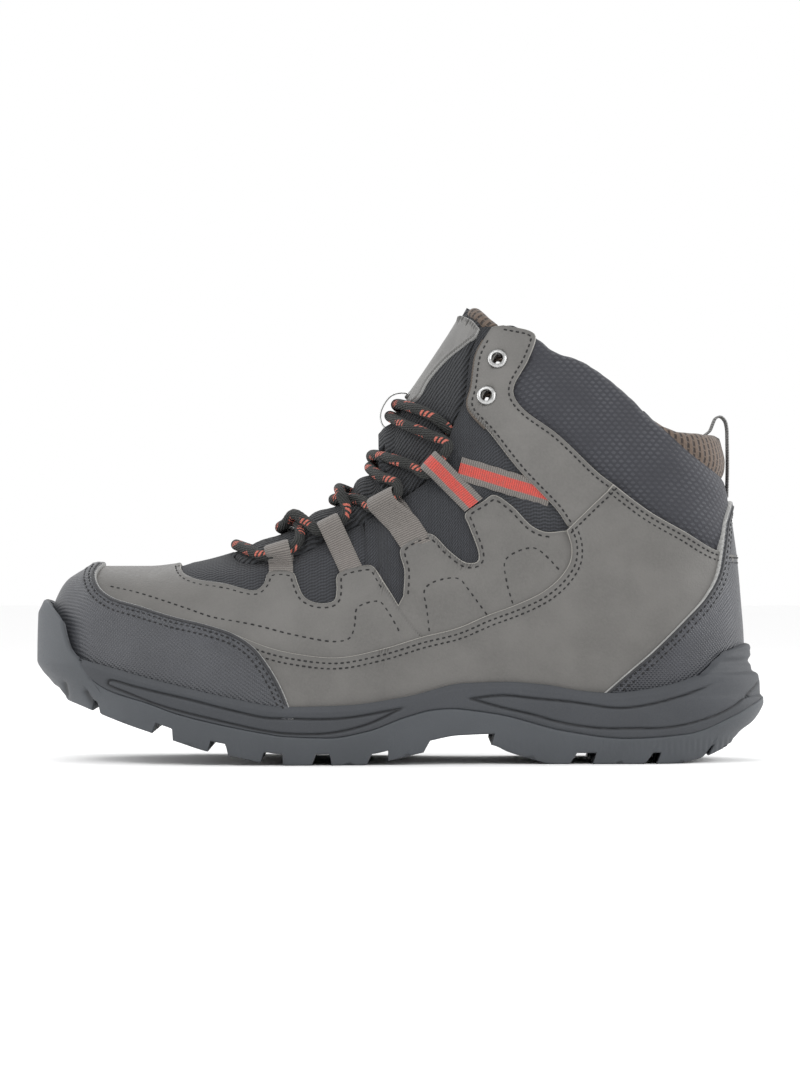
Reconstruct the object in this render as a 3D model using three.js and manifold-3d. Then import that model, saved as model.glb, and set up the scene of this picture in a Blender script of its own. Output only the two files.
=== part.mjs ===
// A mid-height hiking boot for the left foot, as separate sole, upper, tongue, lacing and pull-tab pieces.
// Millimetres, +Z up. The toe points to -X and the outer side of the foot to -Y. The origin is on the
// ground, under the middle of the sole.
import * as THREE from "three";
import { mergeVertices } from "three/addons/utils/BufferGeometryUtils.js";
import Module from "manifold-3d";

const wasm = await Module();
wasm.setup();

// ---- Driving dimensions ------------------------------------------------------------------------------

const UPPER_TOE_X = -143;
const UPPER_HEEL_X = 142;
const GAP = 0.3; // clearance between touching pieces
const MESH_THICK = 1.5; // outer textile layer
const OVERLAY = [0.3, 1.7]; // stitched-on synthetic leather, measured out from the textile
const GUARD = [0.3, 1.9]; // toe guard and heel cover
const LINING_THICK = 1.2;
const STIFFENER = [-3.4, -1.8]; // heel counter and toe puff, under the textile
const INTERLINING = 3.7; // depth of the lining under the textile, away from the padded collar
const COLLAR_PADDING = 4; // extra depth at the padded collar
const BOARD_THICK = 2.2;
const FOOTBED_THICK = 4.2;
const FOOTBED_OFFSET = -6.3; // footbed edge, in from the outer textile
const TONGUE_THICK = 8;
const CUP_OFFSET = 2.2; // inside of the sole's cup, out from the textile
const LUG_DEPTH = 4.5;
const LACE_DIAMETER = 4.5;
const LACE_SIDES = 8;
const LOOP_INNER_R = 2.9; // the bore of a webbing loop, and its outside
const LOOP_OUTER_R = 4;
const AGLET = { length: 20, radius: 2.1 };
const EYELET = { hole: 2.2, barrel: 2.8, flange: 3.9, flangeThick: 0.9, depth: 5.2 };
const PULL_TAB_WIDTH = 12;
const OUTER = -1; // side signs: -Y
const INNER = 1; // +Y

// ---- Curves ------------------------------------------------------------------------------------------

// A smooth function through [x, value] points that stays between neighbouring values (a monotone cubic).
function curve(points) {
  const x = points.map((p) => p[0]);
  const y = points.map((p) => p[1]);
  const n = x.length;
  const slope = (i) => (y[i + 1] - y[i]) / (x[i + 1] - x[i]);
  const tangent = x.map((_, i) => {
    if (i === 0) return slope(0);
    if (i === n - 1) return slope(n - 2);
    const [a, b] = [slope(i - 1), slope(i)];
    return a * b <= 0 ? 0 : (2 * a * b) / (a + b);
  });
  return (at) => {
    const t = Math.min(Math.max(at, x[0]), x[n - 1]);
    let i = 0;
    while (i < n - 2 && t > x[i + 1]) i++;
    const h = x[i + 1] - x[i];
    const u = (t - x[i]) / h;
    return (
      (1 + 2 * u) * (1 - u) ** 2 * y[i] +
      u * (1 - u) ** 2 * h * tangent[i] +
      u * u * (3 - 2 * u) * y[i + 1] +
      u * u * (u - 1) * h * tangent[i + 1]
    );
  };
}

function smoothstep(value, low, high) {
  const t = Math.min(Math.max((value - low) / (high - low), 0), 1);
  return t * t * (3 - 2 * t);
}

// Rounds a plan outline off to nothing within radius of its toe and heel ends.
function endRounding(x, toe, toeRadius, heel, heelRadius) {
  const power = 2.3;
  const past = Math.max((toe + toeRadius - x) / toeRadius, (x - heel + heelRadius) / heelRadius, 0);
  return Math.max(1 - Math.min(past, 1) ** power, 0) ** (1 / power);
}

// ---- The upper's outer surface, as a function of the station x and the share q around from the ridge -

const ridgeHeight = curve([
  [-143, 52], [-141, 65], [-135, 74], [-124, 78.6], [-104, 78.6], [-85, 81], [-66, 86], [-46, 94],
  [-26, 104.5], [-17, 112], [-9.8, 119], [-7.6, 124.3], [-6, 130], [-4, 136], [-1, 141], [3, 148],
  [8.5, 156], [24, 179.5], [33, 195], [44, 205], [60, 208], [143, 208],
]);
const floorHeight = curve([
  [-143, 39], [-131, 33], [-113, 26.5], [-95, 22.5], [-72, 19.5], [-48, 18.5], [-20, 18.5], [6, 22],
  [26, 27], [43, 27], [59, 25.5], [100, 24.5], [142, 26],
]);
const centreLine = curve([[-143, 9], [-110, 5], [-70, 1], [-30, 0], [142, 0]]);
const outerHalf = curve([
  [-143, 38], [-120, 41], [-100, 46], [-70, 50], [-45, 50.5], [-15, 46], [20, 40], [60, 36], [100, 35],
  [142, 33],
]);
const innerHalf = curve([
  [-143, 36], [-120, 39], [-100, 43], [-70, 47.5], [-45, 46], [-15, 39], [20, 33.5], [60, 32],
  [100, 34], [142, 33],
]);
const fullness = curve([
  [-143, 2.6], [-110, 2.5], [-80, 2.1], [-40, 1.7], [-10, 1.6], [15, 1.9], [30, 2.6], [60, 3.2],
]);
const waist = curve([[26, 1], [50, 1], [80, 0.93], [105, 0.94], [125, 1], [150, 0.98], [208, 0.95]]);
const heelLean = curve([
  [26, 1.2], [50, 1.8], [66, 3], [82, 4.4], [94, 6], [107, 7.9], [124, 8.8], [134, 10], [208, 14],
]);

function surface(x, q) {
  const side = q < 0 ? OUTER : INNER;
  const floor = floorHeight(x);
  const rise = Math.sin(((1 - Math.abs(q)) * Math.PI) / 2);
  const z = floor + (ridgeHeight(x) - floor) * rise;
  const plan = side === OUTER ? outerHalf(x) : innerHalf(x);
  const half = plan * endRounding(x, UPPER_TOE_X, 38, UPPER_HEEL_X, 34);
  const ankle = 1 + (waist(z) - 1) * smoothstep(x, 0, 50);
  const width = half * Math.sqrt(Math.max(1 - rise ** fullness(x), 0)) * ankle;
  const lean = heelLean(z) * smoothstep(x, 40, UPPER_HEEL_X);
  return new THREE.Vector3(x - lean, centreLine(x) + side * width, z);
}

function surfaceNormal(x, q) {
  const step = 0.5;
  const share = 0.004;
  const alongX = surface(x + step, q).sub(surface(x - step, q));
  const around = surface(x, q + share).sub(surface(x, q - share));
  return around.cross(alongX).normalize().negate();
}

// A point at a height above the surface.
function above(x, q, lift) {
  return surface(x, q).addScaledVector(surfaceNormal(x, q), lift);
}

// The share q at which station x has height z, on one side.
function shareAt(x, z, side) {
  const floor = floorHeight(x);
  const rise = Math.min(Math.max((z - floor) / (ridgeHeight(x) - floor), 0), 1);
  return side * (1 - (2 / Math.PI) * Math.asin(rise));
}

// ---- Solids ------------------------------------------------------------------------------------------

function toSolid(geometry) {
  const bare = geometry.clone();
  bare.deleteAttribute("normal");
  bare.deleteAttribute("uv");
  const merged = mergeVertices(bare, 1e-4);
  return new wasm.Manifold(
    new wasm.Mesh({
      numProp: 3,
      vertProperties: merged.attributes.position.array,
      triVerts: new Uint32Array(merged.index.array),
    }),
  );
}

function toGeometry(solid) {
  const mesh = solid.getMesh();
  const geometry = new THREE.BufferGeometry();
  geometry.setAttribute("position", new THREE.BufferAttribute(new Float32Array(mesh.vertProperties), 3));
  geometry.setIndex(new THREE.BufferAttribute(new Uint32Array(mesh.triVerts), 1));
  geometry.computeVertexNormals();
  return geometry;
}

// Faces whose corners coincide are dropped.
function withoutFlatFaces(geometry) {
  const index = [...geometry.index.array];
  const faces = [];
  for (let k = 0; k < index.length; k += 3) {
    const [a, b, c] = index.slice(k, k + 3);
    if (a !== b && b !== c && a !== c) faces.push(a, b, c);
  }
  geometry.setIndex(faces);
  return geometry;
}

// A closed skin over rows of points. Each row runs from one side's bottom edge over the top to the other's.
function skin(rows) {
  const across = rows[0].length;
  const geometry = new THREE.BufferGeometry().setFromPoints(rows.flat());
  const faces = [];
  for (let i = 0; i < rows.length - 1; i++) {
    for (let j = 0; j < across; j++) {
      const k = (j + 1) % across;
      const [a, b, c, d] = [i * across + j, i * across + k, (i + 1) * across + k, (i + 1) * across + j];
      faces.push(a, c, b, a, d, c);
    }
  }
  geometry.setIndex(faces);
  return withoutFlatFaces(mergeVertices(geometry, 1e-3));
}

const STATIONS = [
  -143, -141.2, -136, -126, -110, -90, -70, -52, -38, -26, -16, -10, -6.5, -1, 7, 17, 30, 48, 70, 92, 112,
  128, 138, 141.3, 142,
];
const SHARES = 6; // rows of facets on each side
const SKIRT = 12; // the walls run this far below the floor, so that the floor can be cut anywhere

const upperSkin = (() => {
  const rows = [];
  for (const x of STATIONS) {
    const row = [];
    for (let j = -SHARES; j <= SHARES; j++) row.push(surface(x, j / SHARES));
    const below = new THREE.Vector3(0, 0, -SKIRT);
    row.unshift(row[0].clone().add(below));
    row.push(row[row.length - 1].clone().add(below));
    rows.push(row);
  }
  const geometry = skin(rows);
  geometry.computeVertexNormals();
  return geometry;
})();

// The filled upper, grown outwards by distance (negative is inwards), which may be a function of the point.
function upperBody(distance) {
  const geometry = upperSkin.clone();
  const position = geometry.attributes.position;
  const normal = geometry.attributes.normal;
  const point = new THREE.Vector3();
  for (let i = 0; i < position.count; i++) {
    point.fromBufferAttribute(position, i);
    const by = typeof distance === "function" ? distance(point) : distance;
    point.addScaledVector(new THREE.Vector3().fromBufferAttribute(normal, i), by);
    position.setXYZ(i, point.x, point.y, point.z);
  }
  return toSolid(geometry);
}

const bodies = new Map();
function body(distance) {
  if (!bodies.has(distance)) bodies.set(distance, upperBody(distance));
  return bodies.get(distance);
}

// A layer of the upper between two offsets.
function layer(inside, outside) {
  return body(outside).subtract(body(inside));
}

const linedDepth = (extra) => (point) =>
  -(INTERLINING + extra + COLLAR_PADDING * smoothstep(point.z, 92, 120) * smoothstep(point.x, 48, 64));
const liningOutside = linedDepth(0);
const liningInside = linedDepth(LINING_THICK);
const paddingInside = linedDepth(-GAP);

// Everything whose side view lies inside an outline of [x, z] points, from y = low to y = high.
function sideRegion(outline, low = -80, high = 80) {
  const shape = new THREE.Shape(outline.map(([x, z]) => new THREE.Vector2(x, z)));
  const geometry = new THREE.ExtrudeGeometry(shape, { depth: high - low, bevelEnabled: false });
  geometry.rotateX(Math.PI / 2);
  geometry.translate(0, high, 0);
  return toSolid(geometry);
}

function oneSide(outline, side) {
  return side === OUTER ? sideRegion(outline, -80, -GAP / 2) : sideRegion(outline, GAP / 2, 80);
}

// The side-view band between two curves of x.
function band(low, high, from, to, step = 14) {
  const count = Math.ceil((to - from) / step);
  const xs = Array.from({ length: count + 1 }, (_, i) => from + ((to - from) * i) / count);
  return [...xs.map((x) => [x, low(x)]), ...xs.reverse().map((x) => [x, high(x)])];
}

const boxes = (low, high) =>
  toSolid(
    new THREE.BoxGeometry(high[0] - low[0], high[1] - low[1], high[2] - low[2]).translate(
      (low[0] + high[0]) / 2,
      (low[1] + high[1]) / 2,
      (low[2] + high[2]) / 2,
    ),
  );

// A solid made in its own axes, then placed with its x and z axes along two directions.
function placed(solid, origin, xAxis, zAxis) {
  const z = zAxis.clone().normalize();
  const y = new THREE.Vector3().crossVectors(z, xAxis).normalize();
  const x = new THREE.Vector3().crossVectors(y, z);
  const m = new THREE.Matrix4().makeBasis(x, y, z).setPosition(origin).elements;
  return solid.transform([...m]);
}

function cylinder(radius, low, high, sides) {
  const geometry = new THREE.CylinderGeometry(radius, radius, high - low, sides);
  geometry.rotateX(Math.PI / 2);
  geometry.translate(0, 0, (low + high) / 2);
  return toSolid(geometry);
}

function tube(points, radius, steps) {
  const section = new THREE.Shape();
  for (let i = 0; i < LACE_SIDES; i++) {
    const angle = (2 * Math.PI * i) / LACE_SIDES;
    const at = [radius * Math.cos(angle), radius * Math.sin(angle)];
    if (i === 0) section.moveTo(...at);
    else section.lineTo(...at);
  }
  const path = new THREE.CatmullRomCurve3(points, false, "centripetal");
  return toSolid(new THREE.ExtrudeGeometry(section, { steps, extrudePath: path, bevelEnabled: false }));
}

// ---- Side-view outlines, [x, z] ----------------------------------------------------------------------

const THROAT = [
  [-72, 90], [-66, 82], [-47, 82.5], [-26, 92], [-2, 105], [17, 120.5], [21.5, 135.5], [26.5, 148.5],
  [29, 166], [33, 176], [38, 186],
];
const COLLAR_TOP = [
  [38, 178.5], [46, 178], [55.5, 174], [63.5, 168], [73.5, 164.5], [83.5, 158], [93.5, 149.5],
  [103, 140.5], [113, 135.5], [123, 134.5], [146, 132.5],
];
const COLLAR_SEAM = [
  [53, 165], [46.5, 151], [50.5, 143.5], [64, 133.5], [86.5, 113.5], [101, 102.5], [115.5, 94],
  [129.5, 86],
];
const CUFF_SEAM = [[99.5, 143.8], [108, 135.5], [120, 125], [146, 108]];
const GUARD_EDGE = [
  [-116, 90], [-121, 80], [-124, 75], [-122, 70], [-116.5, 66], [-105, 62.5], [-91, 58.5],
  [-77.5, 55.5], [-66.5, 52], [-58.5, 47], [-53, 40.5], [-47.5, 31.5], [-42, 18],
];
const HEEL_COVER_EDGE = [
  [83, 18], [95, 41], [105, 51.5], [117, 63], [124.5, 70], [128.5, 78], [130, 88], [131, 98],
  [134, 106.5],
];
const OVERLAY_LOWER_EDGE = [
  [-66.5, 52], [-53, 47], [-42, 44.5], [-25.5, 43], [-9, 46], [9, 51.5], [23, 55], [35, 60],
  [47.5, 64.5], [58, 69.5], [65, 75.5], [69, 82], [69.5, 88], [67.5, 94.5],
];
const VAMP_TOP_EDGE = [
  [-92, 90], [-89, 77.5], [-84, 74.5], [-71, 72.5], [-58, 70], [-55, 72.5], [-53, 77], [-43, 77],
  [-41, 72.5], [-38.5, 67.5], [-33, 65], [-26.5, 66], [-25.5, 70], [-25, 76.5], [-15, 80], [-11, 80],
  [-5.5, 72.5], [0, 63.5],
];
const QUARTER_TOP_EDGE = [
  [1.5, 68], [2, 78], [0.5, 87], [9, 92.5], [13, 93], [20.5, 86], [27, 81.5], [31.5, 82], [32, 85],
  [28, 96.5], [26.5, 101], [34, 106.5], [38, 109], [45.5, 104.5], [53.5, 96.5], [59, 94], [67.5, 94.5],
];
const EYESTAY = [
  [42.5, 178], [53.5, 175.5], [55.5, 173.5], [52.5, 164], [46.5, 153], [46.5, 149], [50.5, 143.5],
  [64, 133.5], [80.5, 118], [86.5, 113.5], [84, 110.5], [68, 96.5], [64, 102.5], [47.5, 120],
  [37, 133.5], [28, 144.5], [29.5, 153], [31.5, 166], [35, 173],
];
const junction = curve([
  [-131, 42.7], [-112, 37.7], [-93, 33], [-70, 27.8], [-45, 23.7], [-23, 24.2], [3.5, 27.8], [26, 33],
  [43, 33.5], [59, 32.3], [74, 29.8], [85, 29], [105, 31.4], [121, 36.4], [133, 45.3], [144, 50],
  [152, 50],
]);
const outsoleTop = curve([
  [-126, 34], [-121, 29], [-111, 26.3], [-91, 20.7], [-70, 15.5], [-46, 11.4], [-28, 10.8], [-13, 13.4],
  [3.5, 19.5], [15, 21.5], [26, 21.8], [41, 19.6], [59, 14.5], [74, 11.4], [95, 9.9], [115, 11.4],
  [131, 15.5], [141, 21.6], [152, 33],
]);
const tread = curve([
  [-150, 33], [-142, 27], [-130, 23], [-121.5, 20], [-110, 16], [-99, 12.5], [-90, 9.5], [-77, 5.5],
  [-66, 3.4], [-56, 1.2], [-47, 0], [-13, 0], [-5, 1.5], [10, 5], [22, 7.3], [37, 7.8], [44, 5],
  [53.5, 2], [62, 0], [112, 0], [124, 2.2], [134, 6], [141, 10.5], [150, 20],
]);
const LUGS = [
  [-137, -125], [-121.5, -99.5], [-91.5, -77], [-69.5, -55.5], [-47, -35], [-28, -13], [-5, 10],
  [37, 69], [78, 99.5], [104, 123.5], [126, 141],
];
const BUMPER_EDGE = [
  [-126.2, 34], [-131, 43.5], [-135, 48], [-137.5, 57], [-141.5, 62.5], [-146, 66], [-160, 68],
];

// ---- Pieces ------------------------------------------------------------------------------------------

const COLOURS = {
  rubber: [0x53575c, 0.7, 0],
  foam: [0x5b5d61, 0.75, 0],
  board: [0xb8a888, 0.9, 0],
  leather: [0x83827f, 0.6, 0],
  guard: [0x5f6065, 0.5, 0],
  mesh: [0x414347, 0.9, 0],
  collar: [0x4a4b51, 0.85, 0],
  lining: [0x7d6a5a, 0.9, 0],
  padding: [0xc9c5b8, 0.95, 0],
  stiffener: [0xdedbd2, 0.7, 0],
  webbing: [0x86827c, 0.85, 0],
  stripe: [0xd8604f, 0.8, 0],
  lace: [0x40423e, 0.85, 0],
  plastic: [0x3a3b3c, 0.4, 0],
  metal: [0xc8c8c6, 0.3, 1],
};

const boot = new THREE.Group();

function add(name, solid, finish) {
  const [color, roughness, metalness] = COLOURS[finish];
  const material = new THREE.MeshStandardMaterial({ color, roughness, metalness });
  const mesh = new THREE.Mesh(toGeometry(solid), material);
  mesh.name = name;
  boot.add(mesh);
}

const sideName = { [OUTER]: "outer", [INNER]: "inner" };

function largest(solid) {
  return solid.decompose().sort((a, b) => b.volume() - a.volume())[0];
}

// ---- Sole --------------------------------------------------------------------------------------------

const soleCentre = curve([[-150, 9], [-110, 5], [-70, 1], [-30, 0], [150, 0]]);
const soleOuterHalf = curve([
  [-150, 40], [-120, 46], [-100, 50.5], [-70, 54.5], [-45, 54.5], [-15, 51.5], [20, 45], [60, 41],
  [100, 40.5], [150, 38],
]);
const soleInnerHalf = curve([
  [-150, 38], [-120, 44], [-100, 49], [-70, 53.5], [-45, 51.5], [-15, 45], [20, 39.5], [60, 38],
  [100, 39.5], [150, 38],
]);
// Plan outlines of the sole, from the ground up: height, toe end, heel end, share of the full width.
const SOLE_SLICES = [
  [-1, -137, 131, 0.9], [13, -138.5, 143, 0.97], [25, -139.5, 150, 1], [33, -144, 147.5, 0.995],
  [41, -150, 145, 0.985], [50, -150, 144, 0.97], [60, -150, 143, 0.955], [68, -146, 142.5, 0.94],
];
const SOLE_POINTS = 18; // on each side

function soleRing([z, toe, heel, share]) {
  const ring = [];
  for (let i = 0; i < 2 * SOLE_POINTS; i++) {
    const side = i < SOLE_POINTS ? OUTER : INNER;
    const x = (toe + heel) / 2 - ((heel - toe) / 2) * Math.cos((Math.PI * i) / SOLE_POINTS);
    const half = side === OUTER ? soleOuterHalf(x) : soleInnerHalf(x);
    const width = half * share * endRounding(x, toe, 44, heel, 40);
    ring.push(new THREE.Vector3(x, soleCentre(x) + side * width, z));
  }
  return ring;
}

const soleBody = (() => {
  const rings = SOLE_SLICES.map(soleRing);
  const n = 2 * SOLE_POINTS;
  const faces = [];
  for (let r = 0; r < rings.length - 1; r++) {
    for (let i = 0; i < n; i++) {
      const [a, b] = [r * n + i, r * n + ((i + 1) % n)];
      faces.push(a, b, b + n, a, b + n, a + n);
    }
  }
  const top = (rings.length - 1) * n;
  for (let i = 0; i < SOLE_POINTS; i++) {
    const [a, b, c, d] = [i, i + 1, n - i - 1, (n - i) % n];
    faces.push(a, c, b, top + a, top + b, top + c);
    if (a !== d) faces.push(a, d, c, top + a, top + c, top + d);
  }
  const geometry = new THREE.BufferGeometry().setFromPoints(rings.flat());
  geometry.setIndex(faces);
  return toSolid(geometry);
})();

const soleLow = -40;
const cup = body(CUP_OFFSET).intersect(sideRegion(band((x) => floorHeight(x) - GAP, () => 240, -160, 160)));
const bumperRegion = sideRegion([...BUMPER_EDGE, [-160, soleLow], [-126.2, soleLow]]);
const belowOutsoleTop = sideRegion(band(() => soleLow, outsoleTop, -126.2, 160));
function treadCut(from, to, depth) {
  return sideRegion(band(() => soleLow, (x) => tread(x) + depth, from, to, 9));
}
const outsoleBlank = soleBody
  .intersect(belowOutsoleTop.add(bumperRegion))
  .subtract(treadCut(-160, 160, 0))
  .subtract(cup);
const lugGaps = LUGS.slice(1).map(([start], i) => treadCut(LUGS[i][1], start, LUG_DEPTH));
const channels = [-15, 11].map((y) =>
  treadCut(-126, 144, LUG_DEPTH).intersect(boxes([-118, y, soleLow], [141, y + 4, 60])),
);
const outsole = [...lugGaps, ...channels].reduce((solid, cut) => solid.subtract(cut), outsoleBlank);
add("outsole", largest(outsole), "rubber");

const SHANK = { from: -22, to: 72, half: 9, thick: 1.6 };
function shankBand(grow) {
  const low = (x) => floorHeight(x) - GAP - SHANK.thick - grow;
  const high = (x) => floorHeight(x) - GAP + 4 * grow;
  const outline = band(low, high, SHANK.from - grow, SHANK.to + grow);
  return sideRegion(outline, -SHANK.half - grow, SHANK.half + grow);
}
const midsole = soleBody
  .intersect(sideRegion(band(() => soleLow, junction, -131, 152)))
  .subtract(belowOutsoleTop.translate([0, 0, GAP]))
  .subtract(bumperRegion.translate([GAP, 0, 0]))
  .subtract(cup)
  .subtract(shankBand(GAP));
add("midsole", largest(midsole), "foam");
add("shank", shankBand(0), "stiffener");

function floorBand(low, high) {
  return sideRegion(band((x) => floorHeight(x) + low, (x) => floorHeight(x) + high, -160, 160));
}
add("insole_board", body(0).intersect(floorBand(0, BOARD_THICK)), "board");
const footbedLow = BOARD_THICK + 2 * GAP;
add("footbed", body(FOOTBED_OFFSET).intersect(floorBand(footbedLow, footbedLow + FOOTBED_THICK)), "lining");

// ---- Upper -------------------------------------------------------------------------------------------

const throatRegion = sideRegion([...THROAT, [38, 230], [-100, 230], [-100, 90]]);
const aboveCollar = sideRegion([[-60, 230], [-60, 178.5], ...COLLAR_TOP, [160, 132.5], [160, 230]]);
const wallRegion = sideRegion(band((x) => floorHeight(x) + BOARD_THICK + GAP, () => 225, -160, 160));
const openShell = (inside, outside) =>
  layer(inside, outside).intersect(wallRegion).subtract(throatRegion).subtract(aboveCollar);

// A thin cut along a line of [x, z] points, which keeps two pieces that meet there apart.
function seam(line, half = GAP / 2) {
  const at = line.map(([x, z]) => new THREE.Vector2(x, z));
  const shifted = (sign) =>
    at.map((p, i) => {
      const before = at[Math.max(i - 1, 0)];
      const after = at[Math.min(i + 1, at.length - 1)];
      const along = after.clone().sub(before).normalize();
      return [p.x - sign * half * along.y, p.y + sign * half * along.x];
    });
  return sideRegion([...shifted(1), ...shifted(-1).reverse()]);
}

const textile = openShell(-MESH_THICK, 0);
const skinLayer = openShell(...OVERLAY);
const guardLayer = openShell(...GUARD);
function sideHalf(side) {
  return side === OUTER
    ? boxes([-160, -90, -50], [160, -GAP / 2, 240])
    : boxes([-160, GAP / 2, -50], [160, 90, 240]);
}

// ---- Lacing ------------------------------------------------------------------------------------------

// Places on the side view, [x, z]: two eyelets, and the front, rear and foot of each webbing loop.
const EYELETS = [[40, 164], [35.5, 149]];
const LOOPS = [
  { front: [-53, 81], rear: [-43, 84.2], foot: [[-43, 77.8], [-53, 77.8]] },
  { front: [-31, 91], rear: [-22, 95.6], foot: [[-15.8, 80.8], [-24, 77.6]] },
  { front: [-8, 102.3], rear: [0.6, 107.8], foot: [[9.3, 93.3], [1.2, 89.6]] },
  { front: [12.2, 116.4], rear: [19, 123.4], foot: [[33.4, 107.4], [26.6, 102.2]] },
];
const LOOP_LIFT = LOOP_OUTER_R + 0.7;
const LOW = 3; // the lace's middle above the tongue where it lies on it
const HIGH = 8; // and where it crosses the other strand

function onSide([x, side, z, lift]) {
  return above(x, side === 0 ? 0 : shareAt(x, z, side), lift);
}

function loopEnds(k, side) {
  return [LOOPS[k].front, LOOPS[k].rear].map(([x, z]) => onSide([x, side, z, LOOP_LIFT]));
}

// The lace between its loops: [x, side, z, lift], where side 0 is the ridge of the tongue.
const BAR = [[-60, OUTER, 83.5, 3.4], [-66.5, 0, 0, LOW], [-60, INNER, 83.5, 3.4]];
const STRANDS_FROM_OUTER = [
  [[-39.8, OUTER, 88.5, 3.4], [-40.3, OUTER, 94.3, LOW], [-42.6, 0, 0, LOW], [-38, INNER, 93.5, LOW]],
  [
    [-20.4, INNER, 99, 4], [-22.5, INNER, 103.5, LOW], [-25.5, 0, 0, LOW], [-20.5, OUTER, 105.8, LOW],
    [-13.5, OUTER, 104.6, 3.4],
  ],
  [
    [0.6, OUTER, 112, 4], [-5, OUTER, 115.5, LOW], [-9.8, 0, 0, LOW], [-3.5, INNER, 119, LOW],
    [6, INNER, 117.3, 3.4],
  ],
  [
    [21.5, INNER, 128, 4.6], [14, INNER, 134, 6.4], [7.5, INNER, 139.6, HIGH], [1.3, 0, 0, LOW],
    [7, OUTER, 143.4, LOW], [13, OUTER, 141, 2.8],
  ],
];
const STRANDS_FROM_INNER = [
  [
    [-41.4, INNER, 88.5, 3.6], [-44.5, INNER, 91.5, LOW], [-48, 0, 0, LOW], [-45, OUTER, 93.6, 4.4],
    [-40.2, OUTER, 94.4, HIGH], [-35.3, OUTER, 93, 6],
  ],
  [[-19.3, OUTER, 99.5, 5], [-19.8, OUTER, 104.5, HIGH], [-21, 0, 0, 4.4], [-14.5, INNER, 106, LOW]],
  [
    [0.6, INNER, 112, 5.6], [-3.9, INNER, 118.5, HIGH], [-7.6, 0, 0, 4], [-1, OUTER, 122.4, LOW],
    [6.5, OUTER, 119.6, 3.4],
  ],
  [
    [21.5, OUTER, 128, 4.6], [12, OUTER, 132.8, 4], [4, OUTER, 136.5, LOW], [-1.5, 0, 0, LOW],
    [5, INNER, 139, LOW], [12.5, INNER, 139.6, 2.8],
  ],
];

function halfLace(strands, startSide) {
  return strands.flatMap((strand, k) => {
    const side = k % 2 === 0 ? startSide : -startSide;
    return [...loopEnds(k, side), ...strand.map(onSide)];
  });
}

// The ends of the lace go in beside the tongue, hang down the wall and lie forward on the footbed.
const ENTRY = [[17.8, 137.8, 1.2], [21, 134, -3.6]];
const HANGING = [
  [24.5, 128, -8.4], [27, 114, -8.8], [25, 97, -8.8], [19, 80, -9], [12, 63, -9.2], [4, 47, -11],
];
const LYING = [[-5, 26, 34.5], [-16, 25, 29.4], [-34, 24, 28.3], [-54, 22, 28.7], [-72, 20, 30.6]];
const entryPoints = (side) => ENTRY.map(([x, z, lift]) => onSide([x, side, z, lift]));
const tailPoints = (side) => [
  entryPoints(side)[1],
  ...HANGING.map(([x, z, lift]) => onSide([x, side, z, lift])),
  ...LYING.map(([x, y, z]) => new THREE.Vector3(x, side * y, z)),
];
const lacePoints = [
  ...entryPoints(OUTER).reverse(),
  ...halfLace(STRANDS_FROM_OUTER, OUTER).reverse(),
  ...BAR.map(onSide),
  ...halfLace(STRANDS_FROM_INNER, INNER),
  ...entryPoints(INNER),
];
const LACE_STEPS = 84;
const TAIL_STEPS = 16;
const laceRoom = tube(lacePoints, LACE_DIAMETER / 2 + GAP + 0.05, LACE_STEPS);
const tailRoom = (side) => tube(tailPoints(side), LACE_DIAMETER / 2 + GAP + 0.2, TAIL_STEPS);
const allLaceRoom = laceRoom.add(tailRoom(OUTER)).add(tailRoom(INNER));

add("lace", tube(lacePoints, LACE_DIAMETER / 2, LACE_STEPS), "lace");
for (const side of [OUTER, INNER]) {
  const points = tailPoints(side);
  const along = points[points.length - 1].clone().sub(points[points.length - 2]).normalize();
  const start = points[0].clone();
  points[0] = start.addScaledVector(points[1].clone().sub(start).normalize(), 2 * GAP);
  add(`lace_tail_${sideName[side]}`, tube(points, LACE_DIAMETER / 2, TAIL_STEPS), "lace");
  const end = points[points.length - 1].clone().addScaledVector(along, GAP);
  const aglet = placed(cylinder(AGLET.radius, 0, AGLET.length, 10), end, new THREE.Vector3(0, 0, 1), along);
  add(`aglet_${sideName[side]}`, aglet, "plastic");
}

// ---- Pieces of the upper -----------------------------------------------------------------------------

const inFrontOf = (line) => [...line, [line[line.length - 1][0], 0], [-170, 0], [-170, 100]];
const guardRegion = sideRegion(inFrontOf(GUARD_EDGE));
const heelRegion = sideRegion([...HEEL_COVER_EDGE, [160, 106.5], [160, 0], [83, 0]]);
const eyeletRoom = [OUTER, INNER].flatMap((side) =>
  EYELETS.map(([x, z]) => {
    const q = shareAt(x, z, side);
    const bore = cylinder(EYELET.barrel + GAP, -12, 12, 12);
    return placed(bore, surface(x, q), new THREE.Vector3(0, 0, 1), surfaceNormal(x, q));
  }),
);
const withoutEyelets = (solid) => eyeletRoom.reduce((rest, hole) => rest.subtract(hole), solid);

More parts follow.
